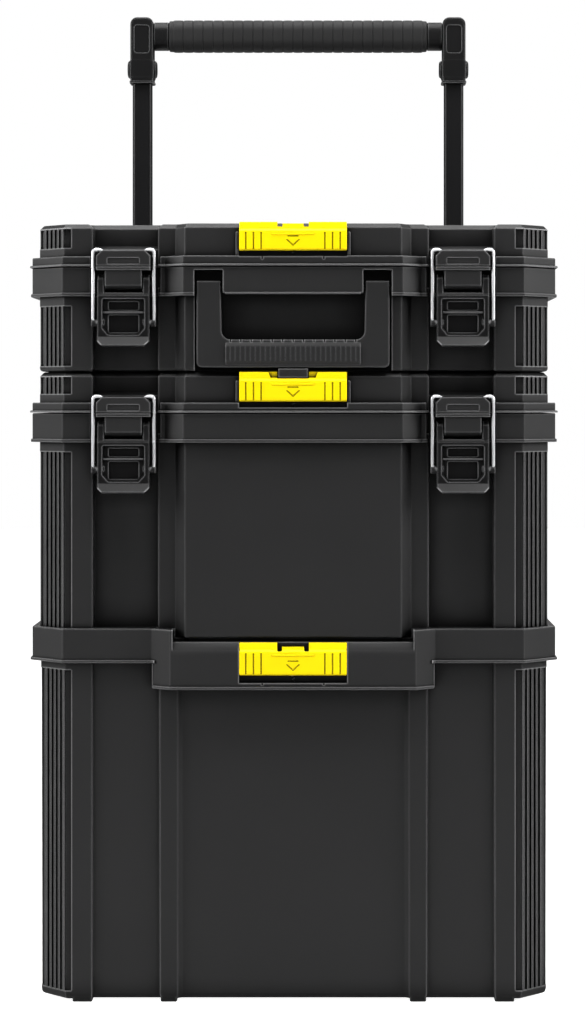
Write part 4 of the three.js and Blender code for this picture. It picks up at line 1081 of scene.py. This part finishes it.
def build_stage():
    """The floor, the white surroundings, the lamps and the camera."""
    scene = bpy.context.scene
    pale = bpy.data.materials.new("pale_floor")
    pale.use_nodes = True
    shader = pale.node_tree.nodes["Principled BSDF"]
    shader.inputs["Roughness"].default_value = 0.9
    cloud = pale.node_tree.nodes.new("ShaderNodeTexNoise")
    cloud.inputs["Scale"].default_value = 3.0
    ramp = pale.node_tree.nodes.new("ShaderNodeMix")
    ramp.data_type = "RGBA"
    tone = scene.tool_box_colours.floor
    ramp.inputs["A"].default_value = (*tone, 1)
    ramp.inputs["B"].default_value = (*[t * 0.98 for t in tone], 1)
    where = pale.node_tree.nodes.new("ShaderNodeTexCoord")
    link = pale.node_tree.links.new
    link(where.outputs["Object"], cloud.inputs["Vector"])
    link(cloud.outputs["Fac"], ramp.inputs["Factor"])
    link(ramp.outputs["Result"], shader.inputs["Base Color"])
    glow, sight = pale.node_tree.nodes.new("ShaderNodeMath"), pale.node_tree.nodes.new(
        "ShaderNodeLightPath")
    glow.operation, glow.inputs[1].default_value = "MULTIPLY", 1.0
    link(sight.outputs["Is Camera Ray"], glow.inputs[0])
    link(glow.outputs[0], shader.inputs["Emission Strength"])
    shader.inputs["Emission Color"].default_value = (1, 1, 1, 1)
    floor = bmesh.new()
    rim = [floor.verts.new((FLOOR_RADIUS * math.cos(k * math.pi / 48),
                            FLOOR_RADIUS * math.sin(k * math.pi / 48), 0)) for k in range(96)]
    floor.faces.new(rim)
    disc = new_object(floor, "floor")
    disc.data.materials.append(pale)

    world = bpy.data.worlds.new("studio")
    world.use_nodes = True
    sky = world.node_tree.nodes["Background"]
    sky.inputs["Color"].default_value = (1, 1, 1, 1)
    eye, level = world.node_tree.nodes.new("ShaderNodeLightPath"), world.node_tree.nodes.new(
        "ShaderNodeMapRange")
    level.inputs["To Min"].default_value, level.inputs["To Max"].default_value = 0.07, 1.0
    world.node_tree.links.new(eye.outputs["Is Camera Ray"], level.inputs["Value"])
    world.node_tree.links.new(level.outputs["Result"], sky.inputs["Strength"])
    scene.world = world
    for name, place, target, size, power in LAMPS:
        lamp = bpy.data.lights.new(name, "AREA")
        lamp.shape, lamp.size, lamp.energy = "SQUARE", size, power
        obj = bpy.data.objects.new(name, lamp)
        obj.location = place
        obj.rotation_euler = (Vector(target) - Vector(place)).to_track_quat(
            "-Z", "Y").to_euler()
        scene.collection.objects.link(obj)
    lens = bpy.data.cameras.new("camera")
    lens.sensor_fit, lens.sensor_width, lens.lens = "AUTO", 36.0, CAMERA_LENS
    lens.shift_x, lens.shift_y = CAMERA_SHIFT
    camera = bpy.data.objects.new("camera", lens)
    camera.location = CAMERA_PLACE
    camera.rotation_euler = (math.pi / 2, 0, 0)
    scene.collection.objects.link(camera)
    scene.camera = camera
    scene.view_settings.view_transform = "Standard"


# ------------------------------------------------------------ add-on parts
def length(name, description, default):
    """A property in metres."""
    return FloatProperty(name=name, description=description, default=default, min=0.0001,
                         unit="LENGTH", subtype="DISTANCE")


def paint(name, description, default):
    """A colour property."""
    return FloatVectorProperty(name=name, description=description, default=default, size=3,
                               subtype="COLOR", min=0.0, max=1.0)


class ToolBoxSizes(bpy.types.PropertyGroup):
    """Sizes of the repeated and fine details."""
    rib_width: length("Rib width", "Width of one upright corner rib", 0.0032)
    rib_pitch: length("Rib pitch", "Distance between corner ribs", 0.0061)
    rib_count: IntProperty(name="Ribs", description="Ribs on each corner", default=5, min=1)
    notch_pitch: length("Notch pitch", "Distance between carry handle notches", 0.00953)
    notch_count: IntProperty(name="Notches", description="Notches along the carry handle",
                             default=13, min=1)
    bail_wire: length("Bail wire", "Radius of the latch wire", 0.00175)
    grip_ring_pitch: length("Grip ring pitch", "Distance between rings of the grip", 0.0102)
    tread_count: IntProperty(name="Tread blocks", description="Blocks round each tyre",
                             default=40, min=3)
    spoke_count: IntProperty(name="Spokes", description="Spokes of each wheel", default=6,
                             min=3)
    # The paler band along edges is partly edge wear and partly a painted highlight.
    edge_wear_and_highlight: length("Edge wear and painted light", "Width of the paler band along edges", 0.0014)


class ToolBoxColours(bpy.types.PropertyGroup):
    """Colours of the finishes."""
    # The edge colours below are mixed in along edges: partly edge wear, partly a painted
    # highlight.
    shell: paint("Shell", "Moulded box plastic", (0.0170, 0.0170, 0.0173))
    shell_edge_highlight_and_wear: paint("Shell edge", "Moulded box plastic on its edges", (0.200, 0.200, 0.203))
    trim: paint("Trim", "Glossier black plastic", (0.0055, 0.0055, 0.0057))
    trim_edge_highlight_and_wear: paint("Trim edge", "Glossier black plastic on its edges", (0.170, 0.170, 0.173))
    yellow: paint("Yellow", "Slide catch plastic", (1.0, 0.74, 0.0))
    yellow_edge_highlight_and_wear: paint("Yellow edge", "Slide catch plastic on its edges", (1.0, 0.80, 0.0))
    steel: paint("Steel", "Bright zinc plated steel", (0.80, 0.81, 0.83))
    steel_edge_highlight_and_wear: paint("Steel edge", "Polished steel on its edges", (0.92, 0.92, 0.93))
    painted: paint("Painted", "Black powder coat of the handle tubes", (0.0050, 0.0050, 0.0054))
    painted_edge_highlight_and_wear: paint("Painted edge", "Powder coat on its edges", (0.05, 0.05, 0.055))
    rubber: paint("Rubber", "Rubber of the grip and tyres", (0.0120, 0.0120, 0.0122))
    rubber_edge_highlight_and_wear: paint("Rubber edge", "Rubber on its edges", (0.05, 0.05, 0.052))
    floor: paint("Floor", "Pale studio floor", (0.60, 0.60, 0.60))


class TOOLBOX_OT_stage(bpy.types.Operator):
    """Adds the floor, the lights and the camera"""
    bl_idname = "toolbox.stage"
    bl_label = "Stage"

    def execute(self, context):
        build_stage()
        return {"FINISHED"}


class TOOLBOX_OT_bin(bpy.types.Operator):
    """Builds the wheeled bin with its rim and ribs"""
    bl_idname = "toolbox.bin"
    bl_label = "Bin"

    def execute(self, context):
        build_bin()
        return {"FINISHED"}


class TOOLBOX_OT_middle_box(bpy.types.Operator):
    """Builds the middle tool box and its lid"""
    bl_idname = "toolbox.middle_box"
    bl_label = "Middle box"

    def execute(self, context):
        build_middle_box()
        return {"FINISHED"}


class TOOLBOX_OT_top_case(bpy.types.Operator):
    """Builds the top carry case and its lid"""
    bl_idname = "toolbox.top_case"
    bl_label = "Top case"

    def execute(self, context):
        build_top_case()
        return {"FINISHED"}


class TOOLBOX_OT_catches(bpy.types.Operator):
    """Builds the three yellow slide catches"""
    bl_idname = "toolbox.catches"
    bl_label = "Slide catches"

    def execute(self, context):
        build_catches()
        return {"FINISHED"}


class TOOLBOX_OT_latches(bpy.types.Operator):
    """Builds the four draw latches and their bails"""
    bl_idname = "toolbox.latches"
    bl_label = "Latches"

    def execute(self, context):
        build_latches()
        return {"FINISHED"}


class TOOLBOX_OT_carry_handle(bpy.types.Operator):
    """Builds the folding carry handle"""
    bl_idname = "toolbox.carry_handle"
    bl_label = "Carry handle"

    def execute(self, context):
        build_carry_handle()
        return {"FINISHED"}


class TOOLBOX_OT_handle_tubes(bpy.types.Operator):
    """Builds the telescopic legs and their clamps"""
    bl_idname = "toolbox.handle_tubes"
    bl_label = "Handle tubes"

    def execute(self, context):
        build_handle_tubes()
        return {"FINISHED"}


class TOOLBOX_OT_pull_handle(bpy.types.Operator):
    """Builds the grip and its corner pieces"""
    bl_idname = "toolbox.pull_handle"
    bl_label = "Pull handle"

    def execute(self, context):
        build_pull_handle()
        return {"FINISHED"}


class TOOLBOX_OT_wheels(bpy.types.Operator):
    """Builds both wheels"""
    bl_idname = "toolbox.wheels"
    bl_label = "Wheels"

    def execute(self, context):
        build_wheels()
        return {"FINISHED"}


class TOOLBOX_OT_hardware(bpy.types.Operator):
    """Gives the pins, springs and bolts their finish"""
    bl_idname = "toolbox.hardware"
    bl_label = "Hardware"

    def execute(self, context):
        build_hardware()
        return {"FINISHED"}


OPERATORS = [
    TOOLBOX_OT_stage, TOOLBOX_OT_bin, TOOLBOX_OT_middle_box, TOOLBOX_OT_top_case,
    TOOLBOX_OT_catches, TOOLBOX_OT_latches, TOOLBOX_OT_carry_handle, TOOLBOX_OT_handle_tubes,
    TOOLBOX_OT_pull_handle, TOOLBOX_OT_wheels, TOOLBOX_OT_hardware]


class TOOLBOX_PT_panel(bpy.types.Panel):
    """Lists the pieces of the tool box."""
    bl_idname = "TOOLBOX_PT_panel"
    bl_label = "Tool box"
    bl_space_type = "VIEW_3D"
    bl_region_type = "UI"
    bl_category = "Tool box"

    def draw(self, context):
        for made in OPERATORS:
            self.layout.operator(made.bl_idname)
        for group_of in (context.scene.tool_box_sizes, context.scene.tool_box_colours):
            for name in group_of.bl_rna.properties.keys():
                if name not in ("rna_type", "name"):
                    self.layout.prop(group_of, name)


CLASSES = [ToolBoxSizes, ToolBoxColours, *OPERATORS, TOOLBOX_PT_panel]


def register():
    """Registers the classes and their properties."""
    for made in CLASSES:
        bpy.utils.register_class(made)
    bpy.types.Scene.tool_box_sizes = PointerProperty(type=ToolBoxSizes)
    bpy.types.Scene.tool_box_colours = PointerProperty(type=ToolBoxColours)


def unregister():
    """Takes the classes and their properties away again."""
    del bpy.types.Scene.tool_box_sizes
    del bpy.types.Scene.tool_box_colours
    for made in reversed(CLASSES):
        bpy.utils.unregister_class(made)


def main():
    register()
    for made in OPERATORS:
        section, name = made.bl_idname.split(".")
        getattr(getattr(bpy.ops, section), name)()


if __name__ == "__main__":
    main()
